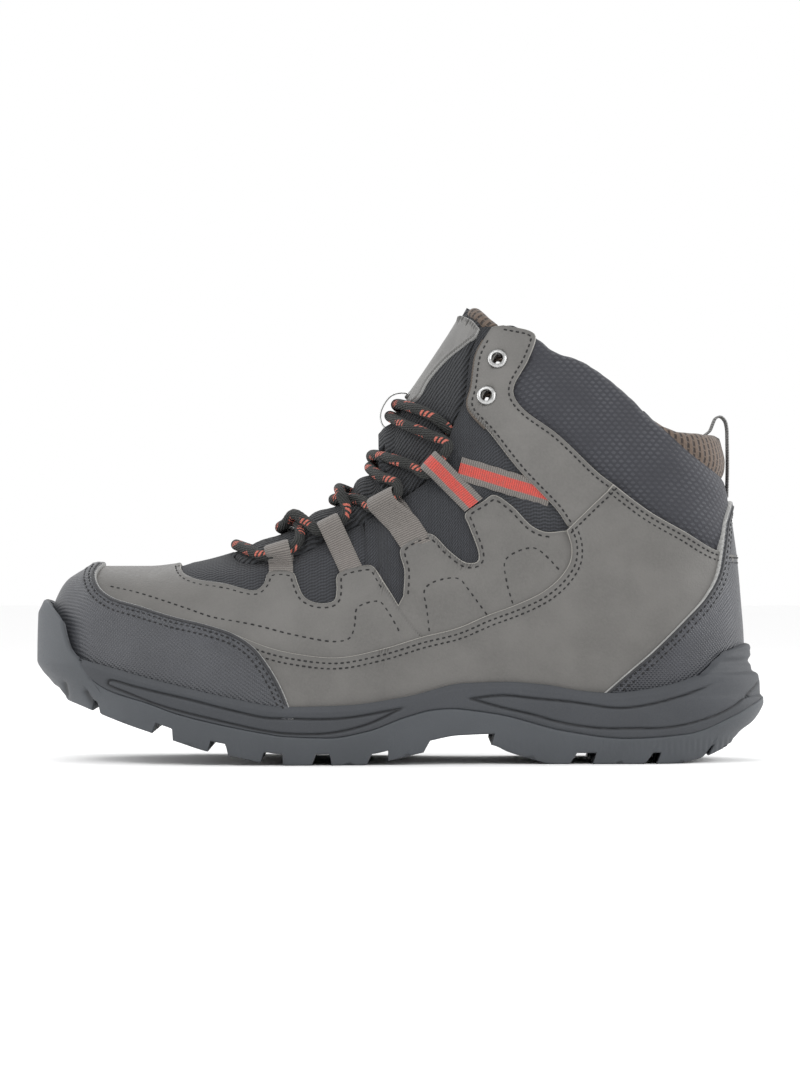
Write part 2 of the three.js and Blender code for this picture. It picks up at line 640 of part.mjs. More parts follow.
// Outer textile: mesh at the front and quarters, padded collar fabric, and the cuff around the tendon.
const VAMP_BACK = [[-16, 120], [-14, 80], [-6, 60], [-2, 15]];
const vampTextile = sideRegion([...VAMP_BACK, [-170, 15], [-170, 120]]);
const collarRegion = sideRegion([...COLLAR_SEAM, [160, 83], [160, 200], [53, 200]]);
const cuffRegion = sideRegion([...CUFF_SEAM, [160, 108], [160, 200], [99.5, 200]]);
const textileSeams = seam(VAMP_BACK)
  .add(seam([...COLLAR_SEAM, [160, 83]]))
  .add(seam([[96, 150], ...CUFF_SEAM]));
const textilePanels = withoutEyelets(textile.subtract(textileSeams)).subtract(allLaceRoom);
add("vamp_mesh", largest(textilePanels.intersect(vampTextile)), "mesh");
for (const side of [OUTER, INNER]) {
  const half = textilePanels.intersect(sideHalf(side));
  add(`quarter_mesh_${sideName[side]}`, largest(half.subtract(vampTextile).subtract(collarRegion)), "mesh");
  const collar = half.intersect(collarRegion).subtract(cuffRegion);
  add(`collar_panel_${sideName[side]}`, largest(collar), "collar");
}
add("achilles_cuff", largest(textilePanels.intersect(cuffRegion)), "lining");

// Synthetic leather overlays, toe guard and heel cover.
const toeGuard = guardLayer.intersect(guardRegion).subtract(seam(GUARD_EDGE)).subtract(laceRoom);
add("toe_guard", largest(toeGuard), "guard");
add("heel_cover", largest(guardLayer.intersect(heelRegion).subtract(seam(HEEL_COVER_EDGE))), "guard");
const VAMP_REAR = [[0, 63.5], [9, 51.5]];
const seamLines = [
  GUARD_EDGE,
  HEEL_COVER_EDGE,
  OVERLAY_LOWER_EDGE,
  [[-5.5, 72.5], ...VAMP_REAR],
  EYESTAY.slice(8, 13),
];
const overlaySeams = seamLines.map((line) => seam(line)).reduce((all, one) => all.add(one));
const leather = withoutEyelets(skinLayer.subtract(overlaySeams).subtract(guardRegion).subtract(heelRegion));
const vampRegion = sideRegion([
  ...VAMP_TOP_EDGE, [9, 51.5], ...OVERLAY_LOWER_EDGE.slice(0, 6).reverse(),
  [-60, 10], [-170, 10], [-170, 120], [-92, 120],
]);
const lowerRegion = sideRegion([
  ...OVERLAY_LOWER_EDGE, [86.5, 113.5], [101, 102.5], [115.5, 94], [129.5, 86],
  [160, 84], [160, 5], [-66.5, 5],
]);
const vamp = leather.intersect(vampRegion.subtract(lowerRegion)).subtract(laceRoom);
add("vamp_overlay", largest(vamp), "leather");
const quarterRegion = sideRegion([
  ...QUARTER_TOP_EDGE, ...OVERLAY_LOWER_EDGE.slice(5).reverse(), VAMP_REAR[0],
]);
const eyestayRegion = sideRegion(EYESTAY);
for (const side of [OUTER, INNER]) {
  const half = leather.intersect(sideHalf(side));
  const eyestay = half.intersect(eyestayRegion).subtract(lowerRegion).subtract(allLaceRoom);
  const heelQuarter = half.intersect(lowerRegion).subtract(eyestayRegion);
  add(`quarter_overlay_${sideName[side]}`, largest(half.intersect(quarterRegion)), "leather");
  add(`eyestay_${sideName[side]}`, largest(eyestay), "leather");
  add(`heel_quarter_${sideName[side]}`, largest(heelQuarter), "leather");
}

// Stiffeners, padding and lining.
const TOE_PUFF_EDGE = [[-100, 95], [-98, 60], [-112, 20]];
const COUNTER_EDGE = [[78, 20], [92, 50], [104, 70], [116, 81], [160, 83]];
const stiffened = openShell(...STIFFENER);
const puffRegion = sideRegion([...TOE_PUFF_EDGE, [-170, 20], [-170, 95]]);
add("toe_puff", largest(stiffened.intersect(puffRegion)), "stiffener");
add("heel_counter", largest(stiffened.intersect(sideRegion([...COUNTER_EDGE, [160, 20]]))), "stiffener");
const foamRegion = sideRegion([[56, 200], [56, 118], [84, 96], [116, 83.5], [160, 83.5], [160, 200]]);
add("collar_foam", largest(openShell(paddingInside, STIFFENER[1]).intersect(foamRegion)), "padding");
const liningShell = withoutEyelets(openShell(liningInside, liningOutside)).subtract(allLaceRoom);
add("lining", largest(liningShell), "lining");

// Webbing loops and the striped straps behind the top ones.
const footShifts = [[0, 0, GAP], [-GAP, 0, GAP / 2], [GAP, 0, GAP / 2]];
const footRoom = (region) =>
  footShifts.map((by) => region.translate(by)).reduce((all, one) => all.add(one));
const vampFoot = footRoom(vampRegion);
const quarterFoot = footRoom(quarterRegion);
const overlayFootRoom = (k, side) => (k < 2 ? vampFoot : quarterFoot).intersect(sideHalf(side));
const webbing = openShell(0.3, 1.3).subtract(overlaySeams);
const STRAP = [[31.5, 119.5], [52, 116.5], [58, 108.5], [36.5, 108.3]];
for (const side of [OUTER, INNER]) {
  LOOPS.forEach((loop, k) => {
    const [front, rear] = loopEnds(k, side);
    const axis = rear.clone().sub(front);
    const length = axis.length();
    const up = new THREE.Vector3(0, 0, 1);
    const ring = placed(cylinder(LOOP_OUTER_R, 0, length, 10), front, up, axis);
    const bore = placed(cylinder(LOOP_INNER_R, -1, length + 1, 10), front, up, axis);
    const footOutline = [loop.front, loop.rear, ...loop.foot];
    const strip = layer(0.3, 1.3).intersect(oneSide(footOutline, side));
    const solid = strip.add(ring).subtract(bore).subtract(laceRoom).subtract(overlayFootRoom(k, side));
    add(`lace_loop_${k + 1}_${sideName[side]}`, largest(solid), k === 3 ? "stripe" : "webbing");
  });
  const strap = webbing
    .intersect(oneSide(STRAP, side))
    .subtract(eyestayRegion)
    .subtract(quarterFoot)
    .subtract(laceRoom);
  add(`side_strap_${sideName[side]}`, largest(strap), "stripe");
  EYELETS.forEach(([x, z], k) => {
    const { hole, barrel, flange, flangeThick, depth } = EYELET;
    const low = OVERLAY[1] + GAP;
    const top = low + flangeThick;
    const profile = [
      [hole, -depth], [barrel, -depth], [barrel, low], [flange, low], [flange, low + 0.5], [3.2, top],
      [hole, top], [hole, -depth],
    ];
    const turned = new THREE.LatheGeometry(profile.map(([r, h]) => new THREE.Vector2(r, h)), 12);
    turned.rotateX(Math.PI / 2);
    const q = shareAt(x, z, side);
    const solid = placed(toSolid(turned), surface(x, q), new THREE.Vector3(0, 0, 1), surfaceNormal(x, q));
    add(`eyelet_${k === 0 ? "upper" : "lower"}_${sideName[side]}`, solid, "metal");
  });
}

// Tongue: a padded tongue below the top of the lacing, and its free top, which folds forward.
const FOLD_X = 7;
const foldTop = surface(FOLD_X, 0);
const foldNormal = surfaceNormal(FOLD_X, 0);
const foldAxis = foldTop.clone().addScaledVector(foldNormal, -7.4);
const TONGUE_TOP = [[20, 191], [27.5, 185.5], [38, 177], [60, 150]];
const throatInset = throatRegion.subtract(seam([[-76, 96], ...THROAT, [39, 200]], 0.6));
const tongueSolid = layer(-TONGUE_THICK, 0).intersect(throatInset).subtract(allLaceRoom);
const ahead = [foldAxis.x + 60 * foldNormal.x, foldAxis.z + 60 * foldNormal.z];
const behind = [foldAxis.x - 60 * foldNormal.x, foldAxis.z - 60 * foldNormal.z];
const belowFold = sideRegion([ahead, behind, [behind[0], 0], [-120, 0], [-120, ahead[1]]]);
add("tongue_pad", largest(tongueSolid.intersect(belowFold)), "mesh");
const FOLD_ANGLE = (37 * Math.PI) / 180;
const lifted = new THREE.Vector2(foldNormal.x, foldNormal.z).rotateAround(new THREE.Vector2(), -FOLD_ANGLE);
const hingeGap = [foldAxis.x + 0.33, foldAxis.z + 0.5];
const aboveFold = sideRegion([
  [hingeGap[0] + 60 * lifted.x, hingeGap[1] + 60 * lifted.y], hingeGap, [behind[0] + 0.33, behind[1] + 0.5],
  [80, 130], ...TONGUE_TOP.slice().reverse(), [10, 200],
]);
add("tongue_flap", largest(tongueSolid.intersect(aboveFold)), "mesh");
const PATCH_REAR = [[4.5, 144.5], [8.5, 149], [12.5, 156], [19.5, 164], [27, 170], [32, 174]];
const patch = layer(GAP, 1.2)
  .intersect(aboveFold)
  .intersect(throatInset)
  .intersect(sideRegion([...PATCH_REAR, [20, 190], [-20, 150]]));
add("tongue_patch", largest(patch), "leather");
const GUSSET = [
  [-66, 82], [-47, 82.5], [-26, 92], [-2, 105], [6, 111.5], [12, 104], [2, 94], [-22, 81], [-45, 71],
  [-64, 72],
];
for (const side of [OUTER, INNER]) {
  const edge = layer(-6.2, -5.2).intersect(wallRegion).intersect(oneSide(GUSSET, side));
  add(`tongue_gusset_${sideName[side]}`, largest(edge.subtract(tongueSolid)), "mesh");
}

// The lace keeper, a thin band that stands over the top crossing.
const KEEPER = [
  [4.2, 151.6], [0.2, 150.2], [-3.2, 148.9], [-5.6, 146], [-7.4, 142.5], [-6.8, 138.5], [-5, 136.4],
];
const keeper = seam(KEEPER, 0.45)
  .intersect(boxes([-40, -4, 100], [40, 4, 200]))
  .subtract(body(0.3))
  .subtract(laceRoom);
add("lace_keeper", largest(keeper), "webbing");

// Pull loop over the back of the collar, and the two tails that hold it.
const LEGS = [
  [133.9, 135.4], [133.9, 139.6], [132.8, 141.6], [131, 142.2], [129.3, 141.4], [128.4, 139.4],
  [128.4, 135.4],
];
const tabHalf = PULL_TAB_WIDTH / 2;
const loopRegion = boxes([100, -tabHalf, 100], [160, tabHalf, 200]);
add("pull_loop", largest(seam(LEGS, 0.55).intersect(loopRegion)), "webbing");
const tabRegion = (low, high) => boxes([115, -tabHalf, low], [150, tabHalf, high]);
add("pull_tab_outer_tail", largest(openShell(0.3, 1.4).intersect(tabRegion(108, 132.6))), "webbing");
const insideTab = [linedDepth(LINING_THICK + 1.4), linedDepth(LINING_THICK + GAP)];
add("pull_tab_inner_tail", largest(openShell(...insideTab).intersect(tabRegion(112, 132.4))), "webbing");

export default boot;
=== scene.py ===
import math
import bmesh
import bpy
import numpy as np
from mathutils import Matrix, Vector
from mathutils.geometry import delaunay_2d_cdt
from mathutils.kdtree import KDTree


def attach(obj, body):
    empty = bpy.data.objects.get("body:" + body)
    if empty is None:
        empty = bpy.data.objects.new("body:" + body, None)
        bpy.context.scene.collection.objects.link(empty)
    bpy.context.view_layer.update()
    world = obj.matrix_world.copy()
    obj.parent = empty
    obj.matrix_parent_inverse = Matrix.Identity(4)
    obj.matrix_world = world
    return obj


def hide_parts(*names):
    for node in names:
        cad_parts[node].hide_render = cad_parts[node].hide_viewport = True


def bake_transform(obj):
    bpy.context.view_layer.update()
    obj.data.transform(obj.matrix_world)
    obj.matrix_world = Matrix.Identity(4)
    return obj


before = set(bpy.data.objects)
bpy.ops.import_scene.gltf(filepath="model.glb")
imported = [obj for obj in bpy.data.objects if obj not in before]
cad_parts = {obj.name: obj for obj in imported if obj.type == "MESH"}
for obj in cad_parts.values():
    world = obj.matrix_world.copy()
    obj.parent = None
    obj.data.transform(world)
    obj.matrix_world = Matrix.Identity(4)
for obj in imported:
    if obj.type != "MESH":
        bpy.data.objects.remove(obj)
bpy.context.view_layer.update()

MM = 0.001
OUTER, INNER = -1, 1
BOOT, TONGUE_TOP, PULL_LOOP = "boot", "tongue_top", "pull_loop"
SIDES = {OUTER: "outer", INNER: "inner"}

# ---- Camera, floor and light --------------------------------------------------------------------------------

LENS = 200.0
SENSOR = 36.0
FRAME_WIDTH = 0.3302   # what the frame's 800 of width covers at the boot, in metres
FRAME_ASPECT = 1070 / 800
AIM = (0.0002, 0.0, 0.0927)


def make_camera():
    data = bpy.data.cameras.new("camera")
    data.sensor_fit = "HORIZONTAL"
    data.sensor_width = SENSOR
    data.lens = LENS
    camera = bpy.data.objects.new("camera", data)
    distance = FRAME_WIDTH * LENS / SENSOR
    camera.location = (AIM[0], AIM[1] - distance, AIM[2])
    camera.rotation_euler = (math.radians(90), 0, 0)
    bpy.context.scene.collection.objects.link(camera)
    bpy.context.scene.camera = camera


def area_light(name, place, aim, size, power, colour=(1, 1, 1)):
    data = bpy.data.lights.new(name, "AREA")
    data.shape = "RECTANGLE"
    data.size, data.size_y = size
    data.energy = power
    data.color = colour
    light = bpy.data.objects.new(name, data)
    light.location = place
    light.rotation_euler = (Vector(aim) - Vector(place)).to_track_quat("-Z", "Y").to_euler()
    bpy.context.scene.collection.objects.link(light)


def make_world():
    world = bpy.data.worlds.new("studio")
    world.use_nodes = True
    background = world.node_tree.nodes["Background"]
    background.inputs[0].default_value = (1, 1, 1, 1)
    background.inputs[1].default_value = 1.0
    bpy.context.scene.world = world
    bpy.context.scene.view_settings.view_transform = "Standard"
    area_light("key", (-0.5, -0.9, 1.1), (0, 0, 0.08), (0.9, 0.7), 6.5)
    area_light("fill", (0.9, -0.7, 0.5), (0.05, 0, 0.08), (0.7, 0.7), 4)
    area_light("rim", (-0.2, 0.9, 0.9), (0, 0, 0.1), (0.9, 0.4), 3.5)
    area_light("toe_side", (-0.75, 0.12, 0.25), (-0.12, 0, 0.06), (0.3, 0.6), 1.4)
    area_light("heel_side", (0.75, 0.15, 0.3), (0.14, 0, 0.08), (0.3, 0.6), 2.6)


def make_floor():
    size = 4.0
    bm = bmesh.new()
    bmesh.ops.create_grid(bm, x_segments=2, y_segments=2, size=size)
    mesh = bpy.data.meshes.new("floor")
    bm.to_mesh(mesh)
    bm.free()
    floor = bpy.data.objects.new("floor", mesh)
    bpy.context.scene.collection.objects.link(floor)
    material = bpy.data.materials.new("floor")
    material.use_nodes = True
    shader = material.node_tree.nodes["Principled BSDF"]
    shader.inputs["Base Color"].default_value = (0.96, 0.96, 0.96, 1)
    shader.inputs["Roughness"].default_value = 0.9
    mesh.materials.append(material)


make_camera()
make_world()
make_floor()

# ---- Curves -------------------------------------------------------------------------------------------------


def curve(points):
    """A smooth function through (x, value) points that stays between neighbours."""
    x = np.array([p[0] for p in points], float)
    y = np.array([p[1] for p in points], float)
    slope = np.diff(y) / np.diff(x)
    tangent = np.empty_like(y)
    tangent[0], tangent[-1] = slope[0], slope[-1]
    before, after = slope[:-1], slope[1:]
    product = before * after
    total = np.where(product > 0, before + after, 1.0)
    tangent[1:-1] = np.where(product > 0, 2 * product / total, 0.0)

    def value(at):
        t = np.clip(np.asarray(at, float), x[0], x[-1])
        i = np.clip(np.searchsorted(x, t, side="right") - 1, 0, len(x) - 2)
        h = x[i + 1] - x[i]
        u = (t - x[i]) / h
        return ((1 + 2 * u) * (1 - u) ** 2 * y[i] + u * (1 - u) ** 2 * h * tangent[i]
                + u * u * (3 - 2 * u) * y[i + 1] + u * u * (u - 1) * h * tangent[i + 1])
    return value


def smoothstep(value, low, high):
    t = np.clip((np.asarray(value, float) - low) / (high - low), 0, 1)
    return t * t * (3 - 2 * t)


def end_rounding(x, toe, toe_radius, heel, heel_radius):
    past = np.maximum(np.maximum((toe + toe_radius - x) / toe_radius,
                                 (x - heel + heel_radius) / heel_radius), 0)
    return np.maximum(1 - np.minimum(past, 1) ** 2.3, 0) ** (1 / 2.3)


# ---- The upper's outer surface, as the CAD has it (millimetres) ----------------------------------------------

TOE_X, HEEL_X = -143.0, 142.0
TOE_RADIUS, HEEL_RADIUS = 38, 34   # how far the plan outline rounds in at each end
ridge_height = curve([
    (-143, 52), (-141, 65), (-135, 74), (-124, 78.6), (-104, 78.6), (-85, 81), (-66, 86), (-46, 94),
    (-26, 104.5),
    (-17, 112), (-9.8, 119), (-7.6, 124.3), (-6, 130), (-4, 136), (-1, 141), (3, 148), (8.5, 156),
    (24, 179.5),
    (33, 195), (44, 205), (60, 208), (143, 208)])
floor_height = curve([
    (-143, 39), (-131, 33), (-113, 26.5), (-95, 22.5), (-72, 19.5), (-48, 18.5), (-20, 18.5), (6, 22),
    (26, 27),
    (43, 27), (59, 25.5), (100, 24.5), (142, 26)])
centre_line = curve([(-143, 9), (-110, 5), (-70, 1), (-30, 0), (142, 0)])
outer_half = curve([
    (-143, 38), (-120, 41), (-100, 46), (-70, 50), (-45, 50.5), (-15, 46), (20, 40), (60, 36), (100, 35),
    (142, 33)])
inner_half = curve([
    (-143, 36), (-120, 39), (-100, 43), (-70, 47.5), (-45, 46), (-15, 39), (20, 33.5), (60, 32), (100, 34),
    (142, 33)])
fullness = curve([(-143, 2.6), (-110, 2.5), (-80, 2.1), (-40, 1.7), (-10, 1.6), (15, 1.9), (30, 2.6),
                  (60, 3.2)])
waist = curve([(26, 1), (50, 1), (80, 0.93), (105, 0.94), (125, 1), (150, 0.98), (208, 0.95)])
heel_lean = curve([
    (26, 1.2), (50, 1.8), (66, 3), (82, 4.4), (94, 6), (107, 7.9), (124, 8.8), (134, 10), (208, 14)])


def upper_point(x, q):
    x, q = np.broadcast_arrays(np.asarray(x, float), np.asarray(q, float))
    floor = floor_height(x)
    rise = np.sin((1 - np.abs(q)) * math.pi / 2)
    z = floor + (ridge_height(x) - floor) * rise
    half = np.where(q < 0, outer_half(x), inner_half(x)) * end_rounding(x, TOE_X, TOE_RADIUS, HEEL_X,
            HEEL_RADIUS)
    ankle = 1 + (waist(z) - 1) * smoothstep(x, 0, 50)
    width = half * np.sqrt(np.maximum(1 - np.abs(rise) ** fullness(x), 0)) * ankle
    return np.stack([x - heel_lean(z) * smoothstep(x, 40, HEEL_X),
                     centre_line(x) + np.where(q < 0, -1, 1) * width, z], -1)


def ease_ends(count):
    """Stations that crowd quickly towards both ends, where the plan outline turns across."""
    t = np.linspace(0, 1, count)
    return TOE_X + (HEEL_X - TOE_X) * (t ** 3 * (10 - 15 * t + 6 * t * t) * 0.6 + 0.4
                                       * (1 - np.cos(math.pi * t)) / 2)


_x = ease_ends(6000)
_half = outer_half(_x) * end_rounding(_x, TOE_X, TOE_RADIUS, HEEL_X, HEEL_RADIUS)
_a = np.concatenate([[0], np.cumsum(np.hypot(np.diff(_x), np.diff(_half)))])
AROUND = float(_a[-1])   # length of the plan outline from toe tip to heel tip, on one side


def station(a):
    return np.interp(a, _a, _x)


def along(x):
    return np.interp(x, _x, _a)


def fold_ends(a, q):
    """Past the toe or heel tip the surface goes on around the other side."""
    a, q = np.broadcast_arrays(np.asarray(a, float), np.asarray(q, float))
    q = np.where((a < 0) | (a > AROUND), -q, q)
    a = np.where(a < 0, -a, a)
    a = np.where(a > AROUND, 2 * AROUND - a, a)
    return a, q


def base(a, q):
    a, q = fold_ends(a, q)
    return upper_point(station(a), q)


def slopes(a, q):
    da, dq = 0.7, 0.006
    along_a = (base(a + da, q) - base(a - da, q)) / (2 * da)
    along_q = (base(a, q + dq) - base(a, q - dq)) / (2 * dq)
    return along_a, along_q


def normal(a, q):
    along_a, along_q = slopes(a, q)
    n = np.cross(along_a, along_q)
    return n / np.maximum(np.linalg.norm(n, axis=-1, keepdims=True), 1e-9)


def above(a, q, lift):
    return base(a, q) + normal(a, q) * np.asarray(lift)[..., None]


def share_at(x, z, side):
    floor = floor_height(x)
    rise = np.clip((z - floor) / (ridge_height(x) - floor), 0, 1)
    return side * (1 - 2 / math.pi * np.arcsin(rise))


def on_side(points, side):
    """Side-view [x, z] points to (a, q) on one side."""
    points = np.asarray(points, float)
    x = points[:, 0].copy()
    for _ in range(8):
        x = points[:, 0] + heel_lean(points[:, 1]) * smoothstep(x, 40, HEEL_X)
    x = np.clip(x, TOE_X, HEEL_X)
    return np.stack([along(x), share_at(x, points[:, 1], side)], -1)


# Arc length down from the ridge, for weaves that keep their scale.
ARC_STATIONS, ARC_ROWS = 150, 80
LAST_STATION, LAST_ROW = 148.999, 78.999   # just inside the grid, so that there is always a next one
_ga = np.linspace(0, AROUND, ARC_STATIONS)
_gq = np.linspace(0, 1, ARC_ROWS)
_grid = base(_ga[:, None], -_gq[None, :])
_arc = np.concatenate([np.zeros((ARC_STATIONS, 1)),
                       np.cumsum(np.linalg.norm(np.diff(_grid, axis=1), axis=-1), 1)], 1)


def weave_coordinates(a, q):
    a, q = fold_ends(a, q)
    fa = np.clip(a / AROUND * (ARC_STATIONS - 1), 0, LAST_STATION)
    fq = np.clip(np.abs(q) * (ARC_ROWS - 1), 0, LAST_ROW)
    i, j = fa.astype(int), fq.astype(int)
    u, v = fa - i, fq - j
    arc = ((1 - u) * (1 - v) * _arc[i, j] + u * (1 - v) * _arc[i + 1, j]
           + (1 - u) * v * _arc[i, j + 1] + u * v * _arc[i + 1, j + 1])
    return np.stack([a, arc * np.sign(q)], -1)


# ---- Lines on the side view ---------------------------------------------------------------------------------


EDGE_STEP = 1.2   # how far apart the points of a panel's outline are


def catmull_rom(points, per_span=24):
    """A centripetal Catmull-Rom curve through the points, in any number of dimensions."""
    p = np.asarray(points, float)
    p = np.vstack([2 * p[0] - p[1], p, 2 * p[-1] - p[-2]])
    out = []
    for i in range(1, len(p) - 2):
        p0, p1, p2, p3 = p[i - 1:i + 3]
        t0 = 0.0
        t1 = t0 + max(np.linalg.norm(p1 - p0), 1e-6) ** 0.5
        t2 = t1 + max(np.linalg.norm(p2 - p1), 1e-6) ** 0.5
        t3 = t2 + max(np.linalg.norm(p3 - p2), 1e-6) ** 0.5
        t = np.linspace(t1, t2, per_span, endpoint=False)[:, None]
        a1 = (t1 - t) / (t1 - t0) * p0 + (t - t0) / (t1 - t0) * p1
        a2 = (t2 - t) / (t2 - t1) * p1 + (t - t1) / (t2 - t1) * p2
        a3 = (t3 - t) / (t3 - t2) * p2 + (t - t2) / (t3 - t2) * p3
        b1 = (t2 - t) / (t2 - t0) * a1 + (t - t0) / (t2 - t0) * a2
        b2 = (t3 - t) / (t3 - t1) * a2 + (t - t1) / (t3 - t1) * a3
        out.append((t2 - t) / (t2 - t1) * b1 + (t - t1) / (t2 - t1) * b2)
    out.append(p[-2][None, :])
    return np.vstack(out)


def distance_along(path):
    """How far along a path each of its points is."""
    return np.concatenate([[0], np.cumsum(np.linalg.norm(np.diff(path, axis=0), axis=1))])


def evenly(points, step=EDGE_STEP):
    """The same line, with a point about every step."""
    p = np.asarray(points, float)
    at = distance_along(p)
    count = max(int(round(at[-1] / step)), 1)
    t = np.linspace(0, at[-1], count + 1)
    return np.stack([np.interp(t, at, p[:, k]) for k in range(p.shape[1])], -1)


def smooth_line(points, step=EDGE_STEP):
    if len(points) < 3:
        return evenly(points, step)
    return evenly(catmull_rom(points), step)


def shifted(line, by):
    """A side-view line moved sideways to its left by a distance."""
    p = np.asarray(line, float)
    t = np.gradient(p, axis=0)
    t /= np.maximum(np.linalg.norm(t, axis=1, keepdims=True), 1e-9)
    return p + by * np.stack([-t[:, 1], t[:, 0]], -1)


THROAT = [
    (-72, 90), (-66, 82), (-47, 82.5), (-26, 92), (-2, 105), (17, 120.5), (21.5, 135.5), (26.5, 148.5),
    (29, 166),
    (33, 176), (38, 186)]
COLLAR_TOP = [
    (38, 178.5), (46, 178), (55.5, 174), (63.5, 168), (73.5, 164.5), (83.5, 158), (93.5, 149.5),
    (103, 140.5),
    (113, 135.5), (123, 134.5), (146, 132.5)]
COLLAR_SEAM = [(53, 165), (46.5, 151), (50.5, 143.5), (64, 133.5), (86.5, 113.5), (101, 102.5),
               (115.5, 94), (129.5, 86)]
CUFF_SEAM = [(99.5, 143.8), (108, 135.5), (120, 125), (146, 108)]
GUARD_EDGE = [
    (-116, 90), (-121, 80), (-124, 75), (-122, 70), (-116.5, 66), (-105, 62.5), (-91, 58.5), (-77.5, 55.5),
    (-66.5, 52), (-58.5, 47), (-53, 40.5), (-47.5, 31.5), (-42, 18)]
HEEL_COVER_EDGE = [
    (70, 18), (84.1, 30.1), (90.6, 35.8), (102.8, 46.3), (115, 58.5), (122.5, 67), (127.4, 76), (129.6, 88),
    (131, 98), (134, 106.5)]
OVERLAY_LOWER_EDGE = [
    (-66.5, 52), (-53, 47), (-42, 44.5), (-25.5, 43), (-9, 46), (9, 51.5), (23, 55), (35, 60), (47.5, 64.5),
    (58, 69.5), (65, 75.5), (69, 82), (69.5, 88), (67.5, 94.5)]
VAMP_TOP_EDGE = [
    (-92, 90), (-89, 77.5), (-84, 74.5), (-71, 72.5), (-58, 70), (-55, 72.5), (-53, 77), (-43, 77),
    (-41, 72.5),
    (-38.5, 67.5), (-33, 65), (-26.5, 66), (-25.5, 70), (-25, 76.5), (-15, 80), (-11, 80), (-5.5, 72.5),
    (0, 63.5)]
QUARTER_TOP_EDGE = [
    (1.5, 68), (2, 78), (0.5, 87), (9, 92.5), (13, 93), (20.5, 86), (27, 81.5), (31.5, 82), (32, 85),
    (28, 96.5),
    (26.5, 101), (34, 106.5), (38, 109), (45.5, 104.5), (53.5, 96.5), (59, 94), (67.5, 94.5)]
EYESTAY_FRONT = [(35, 173), (31.5, 166), (29.5, 153), (28, 144.5), (37, 133.5), (47.5, 120), (64, 102.5),
                 (68, 96.5)]
EYESTAY_REAR = [
    (42.5, 178), (53.5, 175.5), (55.5, 173.5), (52.5, 164), (46.5, 153), (46.5, 149), (50.5, 143.5),
    (64, 133.5),
    (80.5, 118), (86.5, 113.5)]
HEEL_QUARTER_TOP = [(86.5, 113.5), (101, 102.5), (115.5, 94), (129.5, 86), (146, 84.5)]
TONGUE_TOP_EDGE = [(20, 191), (27.5, 185.5), (38, 177), (60, 150)]
STRAP = [(31.5, 119.5), (52, 116.5), (58, 108.5), (36.5, 108.3)]

# ---- Panels: sheets of material that follow the boot's surface ------------------------------------------------


def arc_row(a):
    folded = AROUND - abs(AROUND - abs(a))
    f = min(max(folded / AROUND * (ARC_STATIONS - 1), 0), LAST_STATION)
    i = int(f)
    return (1 - (f - i)) * _arc[i] + (f - i) * _arc[i + 1]


def flat(a, q):
    """The flat layout of a panel: distance along the boot, and down from its ridge."""
    folded, _ = fold_ends(a, q)
    w = weave_coordinates(folded, np.abs(q))
    return np.stack([np.asarray(a, float), np.abs(w[..., 1]) * np.sign(q)], -1)


def inside(points, polygon):
    x, y = points[:, 0][:, None], points[:, 1][:, None]
    x0, y0 = polygon[:, 0], polygon[:, 1]
    x1, y1 = np.roll(x0, -1), np.roll(y0, -1)
    result = np.zeros(len(points), bool)
    for start in range(0, len(points), 4000):
        s = slice(start, start + 4000)
        crosses = (y0 > y[s]) != (y1 > y[s])
        with np.errstate(divide="ignore", invalid="ignore"):
            at = x0 + (y[s] - y0) * (x1 - x0) / (y1 - y0)
        result[s] = (np.sum(crosses & (x[s] < at), axis=1) % 2) == 1
    return result


def nearest(points, targets):
    """Distance from each point to the nearest target."""
    tree = KDTree(len(targets))
    for i, t in enumerate(targets):
        tree.insert(t, i)
    tree.balance()
    return np.array([tree.find(p)[2] for p in points])


def line_distance(p, line, side=None):
    """Distance in space from surface points p to a side-view line laid on the surface of one side, or both."""
    dense = evenly(line, 0.25)
    targets = np.vstack([base(*on_side(dense, s).T) for s in ((OUTER, INNER) if side is None else (side,))])
    return nearest(p, targets)


RINGS = (0.25, 0.6, 1.1, 1.9)


